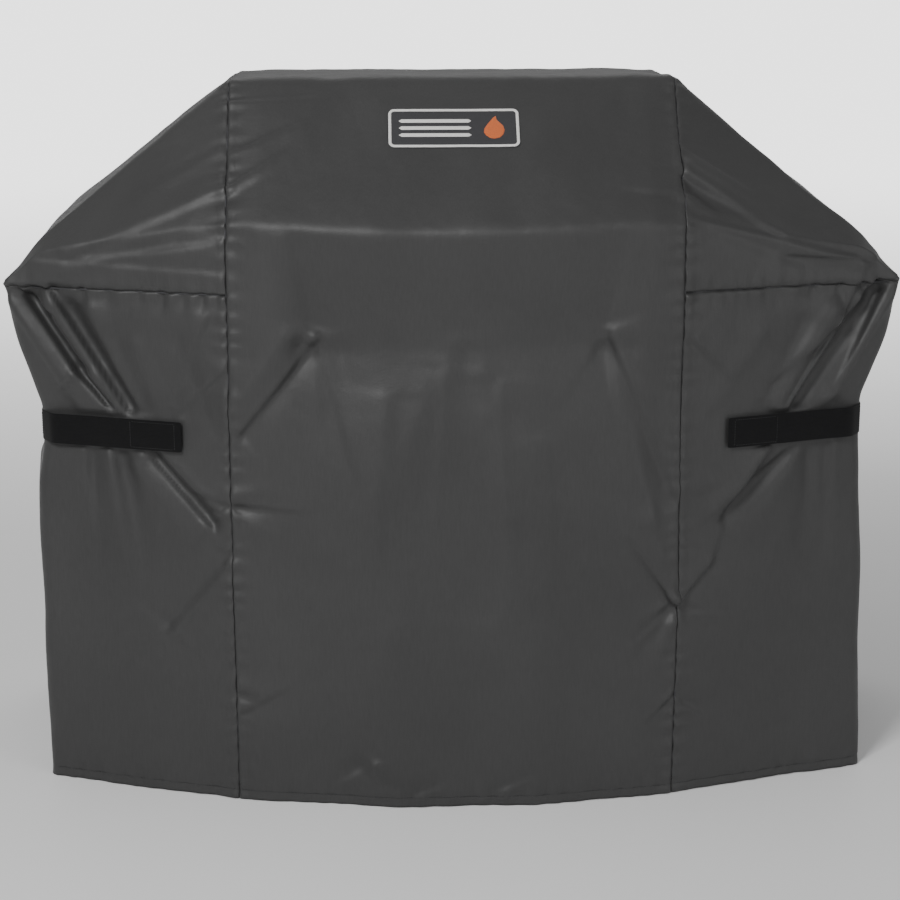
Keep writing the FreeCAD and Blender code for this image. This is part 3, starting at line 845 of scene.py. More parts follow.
def cover_held(points, lines):
    """How firmly each place is held, from 0 to 1."""
    held = np.full(len(points), 0.22)
    for line in lines:
        away, _ = line.near(points)
        held = np.where(away < 0.004, 0.7, held)
    held = np.where(points[:, 2] < 1e-6, 0.5, held)
    held = np.maximum(held, 0.9 * badge_hold(points))
    held = np.maximum(held, 0.3 * (points[:, 2] > TOP_Z - 0.05))
    return np.maximum(held, strap_hold(points))


def build_cover():
    """The folded cover at full detail, with each face's panel and the lines of its seams."""
    cloth = Cloth()
    centre = make_centre(cloth)
    sides = {"left": make_side(cloth, "left", centre[0]), "right": make_side(cloth, "right", centre[-1])}
    points = np.array(cloth.points)
    quads = np.array(cloth.quads)
    edges = edges_of(quads)
    rim = (points[:, 2] < 1e-6).astype(float)
    points = relax(points, edges, 2, 0.5, held=np.maximum(rim, strap_hold(points)))
    points = fold_cloth(points, quads, edges)
    points[rim > 0, 2] = 0.0

    seams = {}
    for side, column in (("left", centre[0]), ("right", centre[-1])):
        seams[f"{side}_side"] = column
        seams[f"{side}_shoulder"] = [row[0] for row in sides[side][1]]
    coarse = [Line(points[ids]) for ids in seams.values()]
    points = settle(points, quads, cover_held(points, coarse), cover_slack(points, coarse))
    points[rim > 0, 2] = 0.0
    cover = set_mesh("cover", points, quads, cloth.panels)
    cover.modifiers.new("Finer", "SUBSURF").levels = 1
    mesh = applied(cover)
    points = mesh_points(mesh)
    # The subdivision keeps the first points' numbers, so the seams are read by them.
    lines = {}
    for name, ids in seams.items():
        ends = points[ids]
        t = np.linspace(0, len(ids) - 1, 4 * len(ids))
        lines[name] = Line(np.column_stack([np.interp(t, np.arange(len(ids)), ends[:, k]) for k in range(3)]))
    return cover, points, lines


TIP_OUT = 0.010           # how far each shoulder's tip is drawn out by its three seams


def detail_cover(cover, points, lines):
    """Grooves and puckers at the seams and the hem, on the subdivided mesh."""
    quads = mesh_quads(cover.data)
    normals = normals_of(points, quads)
    free = (1 - strap_hold(points)) * (1 - 0.85 * badge_hold(points))
    points = points + normals * (crisp_folds(points, normals) * free)[:, None]
    points = relax(points, edges_of(quads), 1, 0.5, held=np.maximum(1 - free, points[:, 2] < 0.004))
    for sign in SIDES.values():
        tip = np.array((sign * SHELF_X, -SIDE_FRONT, SHELF_Z))
        near = np.exp(-(np.linalg.norm(points - tip, axis=1) / 0.022) ** 2)
        points = points + near[:, None] * (sign * TIP_OUT, -0.5 * TIP_OUT, 0.3 * TIP_OUT)
    normals = normals_of(points, quads)
    lift = hem_detail(points)
    for seed, (name, line) in enumerate(sorted(lines.items())):
        if name.endswith("side"):
            lift += seam_detail(points, line, seed, 1.6 * MM, 1.4 * MM, 0.020, 0.026)
        else:
            lift += seam_detail(points, line, seed, 1.4 * MM, 1.3 * MM, 0.020, 0.023)
    lift += 0.35 * MM * wander(points, (0.018, 0.018, 0.026), 5)
    lift *= free
    points = points + normals * lift[:, None]
    edge = points[:, 2] < 0.012
    wave = wander(points[edge], (0.13, 0.13, 1.0), 6)
    points[edge, 2] += (0.0012 + 0.0012 * wave) * (1 - points[edge, 2] / 0.012)
    cover.data.vertices.foreach_set("co", points.ravel())
    cover.data.update()
    return points


CLOTH_THICK = 1.0 * MM
SEAM_OPEN = 0.4 * MM


def open_seams(points, quads, shared):
    """Draws a panel's seam edges a little apart from the next panel's, towards its own inside."""
    edges = edges_of(quads)
    toward = np.zeros_like(points)
    for a, b in ((0, 1), (1, 0)):
        own = edges[shared[edges[:, a]] & ~shared[edges[:, b]]]
        np.add.at(toward, own[:, a], points[own[:, b]] - points[own[:, a]])
    length = np.linalg.norm(toward, axis=1, keepdims=True)
    return points + SEAM_OPEN * toward / np.maximum(length, 1e-9) * (length > 1e-6)


def split_panels(cover):
    """One object for each panel, with the cloth's thickness on its inner side."""
    panel_of = np.zeros(len(cover.data.polygons), np.int32)
    cover.data.attributes["panel"].data.foreach_get("value", panel_of)
    points = mesh_points(cover.data)
    quads = mesh_quads(cover.data)
    uses = np.zeros(len(points), int)
    for number in range(len(PANELS)):
        uses[np.unique(quads[panel_of == number])] += 1
    pieces = {}
    for number, panel in enumerate(PANELS):
        used, renumbered = np.unique(quads[panel_of == number], return_inverse=True)
        own = renumbered.reshape(-1, 4)
        piece = set_mesh(f"{panel}_cloth", open_seams(points[used], own, uses[used] > 1), own)
        thick = piece.modifiers.new("Thickness", "SOLIDIFY")
        thick.thickness = CLOTH_THICK
        thick.offset = -1
        applied(piece)
        shade_smooth(piece)
        pieces[panel] = piece
    return pieces


def shade_smooth(obj, angle=None):
    obj.data.polygons.foreach_set("use_smooth", [True] * len(obj.data.polygons))
    if angle is not None:
        obj.data.set_sharp_from_angle(angle=math.radians(angle))
    obj.data.update()


class Surface:
    """The finished cloth, to lay other pieces on."""

    def __init__(self, obj):
        mesh = obj.data
        self.tree = BVHTree.FromPolygons([v.co for v in mesh.vertices], [p.vertices for p in mesh.polygons])

    def nearest(self, point):
        """The nearest point of the cloth, and its normal there."""
        place, normal, _, _ = self.tree.find_nearest(Vector(point))
        return place, normal

    def along(self, start, direction):
        place, normal, _, _ = self.tree.ray_cast(Vector(start), Vector(direction))
        return place, normal


# ---------------------------------------------------------------- lofted strips

def strip(name, rows, caps=True):
    """A mesh through rows of points: each row is one closed cross section."""
    count = len(rows[0])
    points = [tuple(p) for row in rows for p in row]
    faces = []
    for r in range(len(rows) - 1):
        for k in range(count):
            a, b = r * count + k, r * count + (k + 1) % count
            faces.append((a, b, b + count, a + count))
    if caps:
        faces.append(tuple(range(count))[::-1])
        faces.append(tuple((len(rows) - 1) * count + k for k in range(count)))
    return set_mesh(name, points, faces)


def rounded_section(half_wide, half_thick):
    """A flat section with rounded edges, as (across, out) pairs."""
    r = half_thick
    section = []
    for start, centre in ((-math.pi / 2, half_wide - r), (math.pi / 2, r - half_wide)):
        for k in range(7):
            a = start + math.pi * k / 6
            section.append((centre + r * math.cos(a), r * math.sin(a)))
    return section


def join(name, objects):
    """One object from several, which are removed."""
    vertices, faces, base = [], [], 0
    for obj in objects:
        vertices += [tuple(v.co) for v in obj.data.vertices]
        faces += [tuple(base + i for i in p.vertices) for p in obj.data.polygons]
        base = len(vertices)
        bpy.data.objects.remove(obj)
    return set_mesh(name, vertices, faces)


def at_length(at, run, rows):
    """Where a run of 3-D rows is at a length along it."""
    return np.array([np.interp(at, run, rows[:, k]) for k in range(3)])


def stitches(name, path, long, gap, thick):
    """A row of stitches along a path of (place, normal): a small rounded bar for each."""
    places = np.array([p for p, _ in path])
    ups = np.array([n for _, n in path])
    run = np.concatenate(([0.0], np.cumsum(np.linalg.norm(np.diff(places, axis=0), axis=1))))
    vertices, faces = [], []
    start = gap / 2
    while start + long < run[-1]:
        ends = [at_length(at, run, places) for at in (start, start + long)]
        up = at_length(start, run, ups)
        along = (ends[1] - ends[0]) / long
        side = np.cross(along, up)
        base = len(vertices)
        for share, fat in ((0.0, 0.35), (0.2, 0.9), (0.8, 0.9), (1.0, 0.35)):
            middle = ends[0] + (ends[1] - ends[0]) * share + up * thick * (0.35 * fat - 0.1)
            for k in range(6):
                a = 2 * math.pi * k / 6
                vertices.append(tuple(middle + thick * fat * (side * math.cos(a) + 0.7 * up * math.sin(a))))
        for ring in range(3):
            for k in range(6):
                a, b = base + ring * 6 + k, base + ring * 6 + (k + 1) % 6
                faces.append((a, b, b + 6, a + 6))
        faces.append(tuple(base + k for k in range(6))[::-1])
        faces.append(tuple(base + 18 + k for k in range(6)))
        start += long + gap
    obj = set_mesh(name, vertices, faces)
    shade_smooth(obj)
    return obj


# ---------------------------------------------------------------- materials

class Shader:
    """A material under construction: adds nodes and joins them to the main shader."""

    def __init__(self, name, roughness, **sockets):
        self.material = bpy.data.materials.new(name)
        self.material.use_nodes = True
        self.tree = self.material.node_tree
        self.main = next(n for n in self.tree.nodes if n.type == "BSDF_PRINCIPLED")
        self.main.inputs["Roughness"].default_value = roughness
        for socket, value in sockets.items():
            self.main.inputs[socket.replace("_", " ")].default_value = value
        self.place = self.node("ShaderNodeTexCoord").outputs["Object"]

    def node(self, kind, **settings):
        made = self.tree.nodes.new(kind)
        for key, value in settings.items():
            setattr(made, key, value)
        return made

    def link(self, source, target):
        self.tree.links.new(source, target)

    def math(self, operation, first, second=None):
        made = self.node("ShaderNodeMath", operation=operation)
        for socket, value in zip(made.inputs, (first, second)):
            if isinstance(value, (int, float)):
                socket.default_value = value
            elif value is not None:
                self.link(value, socket)
        return made.outputs[0]

    def stretched(self, scale):
        made = self.node("ShaderNodeMapping")
        self.link(self.place, made.inputs["Vector"])
        made.inputs["Scale"].default_value = scale
        return made.outputs[0]

    def noise(self, scale, detail=3.0, vector=None):
        made = self.node("ShaderNodeTexNoise")
        self.link(vector or self.place, made.inputs["Vector"])
        made.inputs["Scale"].default_value = scale
        made.inputs["Detail"].default_value = detail
        return made.outputs["Fac"]

    def ramp(self, value, low, high, at=(0.3, 0.7)):
        """Colour between low and high as value goes between the two places."""
        made = self.node("ShaderNodeValToRGB")
        self.link(value, made.inputs[0])
        for element, place, colour in zip(made.color_ramp.elements, at, (low, high)):
            element.position = place
            element.color = (*colour, 1)
        return made.outputs[0]

    def axes(self):
        """The place's X, Y and Z, each on its own."""
        split = self.node("ShaderNodeSeparateXYZ")
        self.link(self.place, split.inputs[0])
        return split.outputs

    def sines(self, pitch, axes="XYZ"):
        """A woven surface: the sum of sines along the axes, one thread to a pitch (metres)."""
        places = self.axes()
        total = None
        for axis in axes:
            wave = self.math("SINE", self.math("MULTIPLY", places[axis], 2 * math.pi / pitch))
            total = wave if total is None else self.math("ADD", total, wave)
        return total

    def bump(self, heights):
        """Chains bumps, each a (height, distance in metres)."""
        normal = None
        for height, distance in heights:
            made = self.node("ShaderNodeBump")
            made.inputs["Strength"].default_value = 1.0
            made.inputs["Distance"].default_value = distance
            self.link(height, made.inputs["Height"])
            if normal is not None:
                self.link(normal, made.inputs["Normal"])
            normal = made.outputs[0]
        self.link(normal, self.main.inputs["Normal"])

    def colour(self, socket):
        self.link(socket, self.main.inputs["Base Color"])

    def rough(self, value, low, high):
        made = self.node("ShaderNodeMapRange")
        self.link(value, made.inputs["Value"])
        made.inputs["To Min"].default_value = low
        made.inputs["To Max"].default_value = high
        self.link(made.outputs[0], self.main.inputs["Roughness"])


def shades(colour, spread):
    """A darker and a lighter version of a colour."""
    return [tuple(c * (1 - spread) for c in colour), tuple(c * (1 + spread) for c in colour)]


CLOTH_GREY = (0.030, 0.030, 0.030)


def cloth_material():
    """Woven polyester: fine plain weave, a little crinkle and a soft sheen."""
    s = Shader("cover_cloth", 0.5, Sheen_Weight=0.04, Sheen_Roughness=0.4, Specular_IOR_Level=0.5)
    broad = s.noise(5.0, 2.0)
    yarn = s.noise(420.0, 2.0, s.stretched((1.0, 1.0, 0.12)))
    blend = s.math("ADD", s.math("MULTIPLY", broad, 0.55), s.math("MULTIPLY", yarn, 0.45))
    s.colour(s.ramp(blend, *shades(CLOTH_GREY, 0.16)))
    s.rough(s.noise(38.0), 0.46, 0.60)
    s.bump([(s.noise(70.0, 4.0), 0.5 * MM), (s.noise(260.0, 2.0), 0.10 * MM),
            (s.sines(0.9 * MM), 0.012 * MM)])
    return s.material


def coated_material():
    """The cloth's inner side, with its thin waterproof coating."""
    s = Shader("cloth_coating", 0.42, Specular_IOR_Level=0.5, Coat_Weight=0.15, Coat_Roughness=0.3)
    s.colour(s.ramp(s.noise(14.0), *shades((0.040, 0.040, 0.043), 0.12)))
    s.rough(s.noise(60.0), 0.34, 0.52)
    s.bump([(s.noise(90.0, 4.0), 0.4 * MM), (s.sines(0.9 * MM), 0.006 * MM)])
    return s.material


def tape_material():
    """Folded binding tape: a ribbed weave along the seam."""
    s = Shader("seam_binding", 0.75, Sheen_Weight=0.15, Sheen_Roughness=0.5)
    s.colour(s.ramp(s.noise(90.0), *shades((0.026, 0.026, 0.029), 0.2)))
    s.bump([(s.sines(1.6 * MM), 0.05 * MM), (s.noise(200.0), 0.1 * MM)])
    return s.material


def webbing_material():
    """Near-black ribbed webbing, fuzzy at its surface."""
    s = Shader("webbing", 0.88, Sheen_Weight=0.05, Sheen_Roughness=0.6, Specular_IOR_Level=0.16)
    s.colour(s.ramp(s.noise(300.0, 2.0), *shades((0.0028, 0.0028, 0.0032), 0.35)))
    s.rough(s.noise(150.0), 0.80, 0.96)
    s.bump([(s.sines(2.1 * MM, "Z"), 0.10 * MM), (s.noise(900.0, 2.0), 0.12 * MM)])
    return s.material


def hook_material():
    """The hook side: rows of small stiff hooks, with painted shade down between them."""
    s = Shader("hook_tape", 0.5, Specular_IOR_Level=0.5)
    cells = s.node("ShaderNodeTexVoronoi")
    s.link(s.place, cells.inputs["Vector"])
    cells.inputs["Scale"].default_value = 620.0
    # Painted shade: the colour darkens away from each hook's middle, into the low places between the hooks.
    s.colour(s.ramp(cells.outputs["Distance"], (0.024, 0.024, 0.027), (0.007, 0.007, 0.008), (0.1, 0.6)))
    s.bump([(s.math("MULTIPLY", cells.outputs["Distance"], -1.0), 0.6 * MM)])
    return s.material


def loop_material():
    """The loop side: a brushed pile."""
    s = Shader("loop_tape", 0.95, Sheen_Weight=0.10, Sheen_Roughness=0.7, Specular_IOR_Level=0.15)
    s.colour(s.ramp(s.noise(700.0, 4.0), (0.005, 0.005, 0.006), (0.016, 0.016, 0.018)))
    s.bump([(s.noise(850.0, 5.0), 0.5 * MM)])
    return s.material


def thread_material(name, colour, pitch):
    """Twisted thread, or satin stitches laid side by side at a pitch."""
    s = Shader(name, 0.55, Sheen_Weight=0.2, Sheen_Roughness=0.4)
    s.colour(s.ramp(s.noise(600.0, 2.0), *shades(colour, 0.07)))
    s.bump([(s.sines(pitch, "XZ"), 0.06 * MM), (s.noise(1200.0), 0.04 * MM)])
    return s.material


def twill_material():
    """The badge's dark twill ground: fine diagonal ribs."""
    s = Shader("badge_ground", 0.7, Sheen_Weight=0.15, Sheen_Roughness=0.5)
    places = s.axes()
    diagonal = s.math("ADD", places["X"], places["Z"])
    ribs = s.math("SINE", s.math("MULTIPLY", diagonal, 2 * math.pi / (1.1 * MM)))
    s.colour(s.ramp(s.noise(500.0), *shades((0.022, 0.022, 0.025), 0.15)))
    s.bump([(ribs, 0.05 * MM)])
    return s.material


def floor_material():
    s = Shader("floor", 0.75, Specular_IOR_Level=0.2)
    s.colour(s.ramp(s.noise(1.2), (0.86, 0.86, 0.86), (0.90, 0.90, 0.90)))
    s.bump([(s.noise(40.0), 0.2 * MM)])
    # The floor behind the object is lit on its own, as a studio backdrop is.
    behind = s.axes()["Y"]
    glow = s.node("ShaderNodeMapRange", interpolation_type="SMOOTHSTEP")
    s.link(behind, glow.inputs["Value"])
    for socket, value in (("From Min", 0.3), ("From Max", 7.0), ("To Min", 0.0), ("To Max", 2.2)):
        glow.inputs[socket].default_value = value
    s.link(glow.outputs[0], s.main.inputs["Emission Strength"])
    s.main.inputs["Emission Color"].default_value = (1, 1, 1, 1)
    return s.material


def paint(obj, material):
    """Gives a piece its material."""
    obj.data.materials.clear()
    obj.data.materials.append(material)


def fix(obj, material, slot, *nodes, body="cover"):
    """Paints a piece, lets it ride on a body, and hides the CAD nodes that it stands for."""
    paint(obj, material)
    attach(obj, body)
    if nodes:
        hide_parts(*nodes)


# ---------------------------------------------------------------- seam allowances and hems

def binding(name, line, inward, thick_way):
    """A folded tape along a seam, standing inward from it. Both ways are per point."""
    reach, start, half = 12 * MM, 1.6 * MM, 1.3 * MM
    section = rounded_section((reach - start) / 2, half)
    rows = []
    for place, way, side in list(zip(line.points, inward, thick_way))[::2]:
        middle = place + way * (start + reach) / 2
        rows.append([middle + way * a + side * out for a, out in section])
    return strip(name, rows)


def seam_tape(name, line, thick_axis, turn):
    """A tape that hangs inward from a seam, flat across one of the three axes."""
    axis = np.eye(3)[thick_axis]
    run = np.gradient(line.points, axis=0)
    run[:, thick_axis] = 0
    run /= np.linalg.norm(run, axis=1)[:, None]
    return binding(name, line, np.cross(turn * axis, run), np.tile(axis, (len(run), 1)))


def side_tape(side, lines):
    """The side seam's allowance stops short of the turned-up hem."""
    points = lines[f"{side}_side"].points
    return seam_tape(f"{side}_seam_tape", Line(points[points[:, 2] > HEM_FOLD[1] + 2 * MM]), 0, -1.0)


def shoulder_tape(side, lines):
    line = Line(lines[f"{side}_shoulder"].points[4:-4])
    return seam_tape(f"{side}_shoulder_tape", line, 2, SIDES[side])


HEM_FOLD = (1.2 * MM, 23 * MM)


def hem_outline(part):
    """Points along a panel's foot, seen from above, left to right or front to back."""
    steps = np.linspace(-1, 1, 90)
    if part == "centre_front":
        return [(x, -float(front_depth(x, 0))) for x in steps * (SEAM_X - 3 * MM)]
    if part == "centre_back":
        return [(x, back_depth(x)) for x in steps * (SEAM_X - 3 * MM)]
    return [(SIDES[part] * x, y) for x, y in skirt_run(skirt_half(part, 0))]


def hem_fold(part, surface):
    """The turned-up cloth inside the hem."""
    low, high = HEM_FOLD
    outer, inner = CLOTH_THICK + 0.5 * MM, CLOTH_THICK + 1.4 * MM
    levels = (low, 5 * MM, 11 * MM, 17 * MM, high)
    rows = []
    for x, y in hem_outline(part):
        faces = [surface.nearest((x, y, level)) for level in levels]
        flat = [Vector((normal.x, normal.y, 0)).normalized() for _, normal in faces]
        places = [Vector((place.x, place.y, level)) for (place, _), level in zip(faces, levels)]
        outside = [place - way * outer for place, way in zip(places, flat)]
        inside = [place - way * inner for place, way in zip(places, flat)]
        rows.append(outside + inside[::-1])
    return strip(f"{part}_hem_fold", rows)


def hem_stitching(surface):
    runs = []
    for part in ("centre_front", "centre_back", "left", "right"):
        path = [surface.nearest((x, y, HEM_STITCH_Z)) for x, y in hem_outline(part)]
        runs.append(stitches(f"run_{part}", path, 3.2 * MM, 1.3 * MM, 0.5 * MM))
    return join("hem_stitching", runs)


# ---------------------------------------------------------------- straps

def strap_frame(side):
    """The strap's fold, and its two ways seen from above: along the skirt's face, and out of it."""
    hinge = next(j for j in frame["record"]["behaviour"]["joints"] if j["name"] == f"{side}_strap_peel")
    fold_at = np.array(hinge["pos_m"][:2])
    turn = math.atan((SEAM_FRONT - SIDE_FRONT - CORNER_LEAD) / (WAIST_X - CORNER - SEAM_X))
    along = np.array((-SIDES[side] * math.cos(turn), -math.sin(turn)))
    out = np.array((SIDES[side] * math.sin(turn), -math.cos(turn)))
    return fold_at, along, out


STRAP_REACH = 0.2045      # from the fold to the tongue's tip
STRAP_SEWN_END = -0.096   # the sewn end's Y
STRAP_BEND = 14 * MM      # a length from the fold along the webbing
PAD_AT = 0.1595           # from the fold to the hook pad's middle
PAD_SEWN = (0.069, 0.038)


def strap_route(side):
    """The middle of the webbing seen from above, from its sewn end to the tongue's tip."""
    fold_at, along, out = strap_frame(side)
    x = SIDES[side] * (WAIST_X + WEBBING / 2)
    corner = np.array((x, -SIDE_FRONT + CORNER - 0.4 * MM))
    sewn_end = np.array((x, STRAP_SEWN_END))
    points = [sewn_end + (corner - sewn_end) * t for t in np.linspace(0, 1, 14)]
    points += [corner + (fold_at - corner) * t for t in np.linspace(0, 1, 9)[1:]]
    for t in np.linspace(0, 1, 52)[1:]:
        # Between the fold and the hook pad the pulled webbing lies a little closer to the cloth.
        dip = 1.2 * MM * math.sin(math.pi * min(1.0, t / 0.56)) ** 2
        points.append(fold_at + along * STRAP_REACH * t - out * dip)
    points = np.array(points)
    for _ in range(3):
        points[1:-1] = points[1:-1] * 0.5 + (points[:-2] + points[2:]) * 0.25
    return points


def webbing(side):
    route = strap_route(side)
    run = np.gradient(route, axis=0)
    run /= np.linalg.norm(run, axis=1)[:, None]
    out = np.column_stack((run[:, 1], -run[:, 0])) * -SIDES[side]
    half = (STRAP_HIGH - STRAP_LOW) / 2
    rows = []
    for k, (place, way) in enumerate(zip(route, out)):
        # The tip is heat-cut square, with its corners just eased.
        narrow = 1 * MM if k == len(route) - 1 else 0.0
        thin = WEBBING / 2 * (0.55 if k in (0, len(route) - 1) else 1.0)
        section = rounded_section(half - narrow, thin)
        rows.append([(place[0] + way[0] * o, place[1] + way[1] * o, STRAP_MIDDLE + a) for a, o in section])
    obj = strip(f"{side}_strap_webbing", rows)
    shade_smooth(obj, 50)
    return obj


def stitch_box(name, place, across_way, up_way, out_way, wide, high, cross=False):
    """A rectangle of stitches, with a cross inside it if asked."""
    place, across_way, up_way, out_way = (Vector(v) for v in (place, across_way, up_way, out_way))
    corners = [(-1, -1), (1, -1), (1, 1), (-1, 1), (-1, -1)]
    legs = list(zip(corners, corners[1:]))
    if cross:
        legs += [((-1, -1), (1, 1)), ((-1, 1), (1, -1))]
    runs = []
    for k, (a, b) in enumerate(legs):
        path = []
        for u, v in (a, b):
            path.append((place + across_way * (u * wide / 2) + up_way * (v * high / 2), out_way))
        runs.append(stitches(f"{name}_{k}", path, 2.6 * MM, 1.1 * MM, 0.42 * MM))
    return join(name, runs)


# ---------------------------------------------------------------- badge

BADGE_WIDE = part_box("badge_patch")[1].x * 2
BADGE_HIGH = 0.072
BADGE_THICK = 1.2 * MM
BAR_LONG = 104 * MM
BAR_HALF = 3.2 * MM


class Slope:
    """Places on the lid's slope: a across, b up the slope and h out of the cloth."""

    def __init__(self, surface):
        low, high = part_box("badge_patch")
        rise = math.atan2(high.z - low.z, high.y - low.y)
        self.surface = surface
        self.up = Vector((0, math.cos(rise), math.sin(rise)))
        self.out = Vector((0, -math.sin(rise), math.cos(rise)))
        self.middle = (low + high) / 2

    def at(self, a, b, h):
        start = self.middle + Vector((a, 0, 0)) + self.up * b + self.out * 0.05
        place, _ = self.surface.along(start, -self.out)
        return place + self.out * h


def rounded_outline(wide, high, radius):
    """A rectangle with round corners, as (a, b) pairs, in order."""
    steps = 8
    points = []
    for turn, (cx, cy) in enumerate(((1, 1), (-1, 1), (-1, -1), (1, -1))):
        for k in range(steps + 1):
            angle = math.pi / 2 * (turn + k / steps)
            points.append((cx * (wide / 2 - radius) + radius * math.cos(angle),
                           cy * (high / 2 - radius) + radius * math.sin(angle)))
    return points


def divide(points, longest):
    """The same closed outline with no stretch longer than asked."""
    out = []
    for a, b in zip(points, points[1:] + points[:1]):
        count = max(1, math.ceil(math.dist(a, b) / longest))
        out += [(a[0] + (b[0] - a[0]) * k / count, a[1] + (b[1] - a[1]) * k / count) for k in range(count)]
    return out


def pillow(name, slope, outline, base, height, rings):
    """A raised shape: its outline drawn in towards its middle, rising as rings says."""
    mid = np.mean(outline, axis=0)
    rows = []
    for share, rise in rings:
        row = []
        for point in outline:
            a, b = mid + (np.array(point) - mid) * share
            row.append(slope.at(a, b, base + height * rise))
        rows.append(row)
    obj = strip(name, rows, caps=False)
    mesh = obj.data
    count = len(outline)
    vertices = [tuple(v.co) for v in mesh.vertices] + [tuple(slope.at(*mid, base + height * rings[-1][1]))]
    faces = [tuple(p.vertices) for p in mesh.polygons]
    last, centre = (len(rows) - 1) * count, len(vertices) - 1
    faces += [(last + k, last + (k + 1) % count, centre) for k in range(count)]
    faces.append(tuple(range(count))[::-1])
    mesh.clear_geometry()
    mesh.from_pydata(vertices, [], faces)
    mesh.update()
    shade_smooth(obj, 60)
    return obj


def badge_ground(slope):
    outline = divide(rounded_outline(BADGE_WIDE, BADGE_HIGH, 9 * MM), 6 * MM)
    rings = [(1.0, 0.0), (1.0, 0.8), (0.99, 1.0), (0.85, 1.0), (0.65, 1.0), (0.45, 1.0), (0.25, 1.0)]
    return pillow("badge_ground", slope, outline, 0.0, BADGE_THICK, rings)


def badge_edge(slope):
    """The satin-stitched border: a low round cord on a rounded rectangle."""
    outline = divide(rounded_outline(BADGE_WIDE - 6 * MM, BADGE_HIGH - 6 * MM, 7 * MM), 3 * MM)
    points = np.array(outline)
    run = np.roll(points, -1, axis=0) - np.roll(points, 1, axis=0)
    run /= np.linalg.norm(run, axis=1)[:, None]
    side = np.column_stack((run[:, 1], -run[:, 0]))
    rows = []
    for (a, b), (sa, sb) in zip(points, side):
        row = []
        for k in range(9):
            angle = math.pi * k / 8
            reach, rise = 2.1 * MM * math.cos(angle), 0.9 * MM * math.sin(angle)
            row.append(slope.at(a + sa * reach, b + sb * reach, BADGE_THICK + rise))
        rows.append(row)
    obj = strip("badge_edge", rows + rows[:1], caps=False)
    shade_smooth(obj, 60)
    return obj


def badge_bars(slope):
    """Three grate bars, each a long satin-stitched bar with round ends."""
    bars = []
    for k in (-1, 0, 1):
        middle = (-BADGE_WIDE / 2 + 68 * MM, k * 13 * MM)
        long_way = []
        for t in np.linspace(0, 1, 27):
            a = middle[0] + BAR_LONG * (t - 0.5)
            end = min(t, 1 - t) * BAR_LONG
            full = math.sqrt(max(0.02, 1 - max(0.0, 1 - end / BAR_HALF) ** 2))
            row = []
            for j in range(9):
                angle = math.pi * j / 8
                row.append(slope.at(a, middle[1] + BAR_HALF * full * math.cos(angle),
                                    BADGE_THICK + 1.0 * MM * full * math.sin(angle)))
            long_way.append(row)
        bars.append(strip(f"bar_{k}", long_way))
    obj = join("badge_bars", bars)
    shade_smooth(obj, 60)
    return obj


def badge_flame(slope):
    """A plain leaning flame, raised in the middle."""
    spine = [(0, -20), (8, -18), (13, -12), (15, -4), (13, 4), (8, 10), (4, 15), (3, 22), (-1, 19),
             (-5, 13), (-10, 6), (-14, -1), (-15, -8), (-12, -14), (-6, -19)]
    at = 0.058
    outline = divide([(at + a * MM, b * MM) for a, b in spine], 2.5 * MM)
    rings = [(1.0, 0.0), (0.97, 0.6), (0.88, 1.0), (0.6, 1.15), (0.3, 1.2)]
    return pillow("badge_flame_stitch", slope, outline, BADGE_THICK, 1.0 * MM, rings)


# ---------------------------------------------------------------- putting it together

def place_panels(pieces, with_pieces, cloth, coating):
    shoulder_area = 0.5 * (0.955 + 0.415) * 0.40
    cuts = {"centre": ((0.65, 2.50), None, "centre_panel")}
    for side in SIDES:
        cuts[f"{side}_shoulder"] = ((0.42, 0.96), shoulder_area, f"{side}_shoulder")
        cuts[f"{side}_skirt"] = ((1.12, 0.77), None, f"{side}_skirt")
    for panel, piece in pieces.items():
        flat, area, node = cuts[panel]
        paint(piece, cloth)
        piece.data.materials.append(coating)
        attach(piece, "cover")
        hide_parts(node)
        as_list(with_pieces.get(panel, ()))


def area_light(name, place, target, size, power):
    lamp = bpy.data.lights.new(name, "AREA")
    lamp.shape = "RECTANGLE"
    lamp.size, lamp.size_y = size
    lamp.energy = power
    obj = linked(name, lamp)
    obj.location = place
    obj.rotation_euler = (Vector(target) - Vector(place)).to_track_quat("-Z", "Y").to_euler()


def make_stage():
    """A wide pale floor, soft light from the upper left, and a lit floor behind the object."""
    half = 40.0
    floor = set_mesh("floor", [(-half, -half, 0), (half, -half, 0), (half, half, 0), (-half, half, 0)],
                     [(0, 1, 2, 3)])
    paint(floor, floor_material())
    area_light("key", (-1.25, -2.6, 2.6), (0, 0, 0.5), (0.9, 0.9), 82)
    area_light("fill", (2.4, -2.8, 1.2), (0, 0, 0.4), (1.6, 1.6), 18)
    area_light("top", (0.0, 1.6, 2.6), (0, 0, 1.0), (2.6, 1.0), 12)
    world = bpy.data.worlds.new("studio")
    bpy.context.scene.world = world
    world.use_nodes = True
    sky = next(n for n in world.node_tree.nodes if n.type == "BACKGROUND")
    sky.inputs["Color"].default_value = (1.0, 1.0, 1.0, 1)
    sky.inputs["Strength"].default_value = 0.4


def make_camera():
    """Seen from a little left of the front and a little above."""
    aim = Vector((0, 0, 0.467))
    turn, rise, far = math.radians(-1.9), math.radians(14.7), 3.5
    back = Vector((math.sin(turn) * math.cos(rise), -math.cos(turn) * math.cos(rise), math.sin(rise)))
    camera = bpy.data.cameras.new("camera")
    camera.lens = 89.2
    camera.sensor_width = 36
    obj = linked("camera", camera)
    obj.location = aim + back * far
    obj.rotation_euler = (-back).to_track_quat("-Z", "Y").to_euler()
    bpy.context.scene.camera = obj


cover, points, lines = build_cover()
points = detail_cover(cover, points, lines)
surface = Surface(cover)
panels = split_panels(cover)
bpy.data.objects.remove(cover)

cloth = cloth_material()
tape = tape_material()
dark_thread = thread_material("dark_thread", (0.005, 0.005, 0.006), 0.7 * MM)

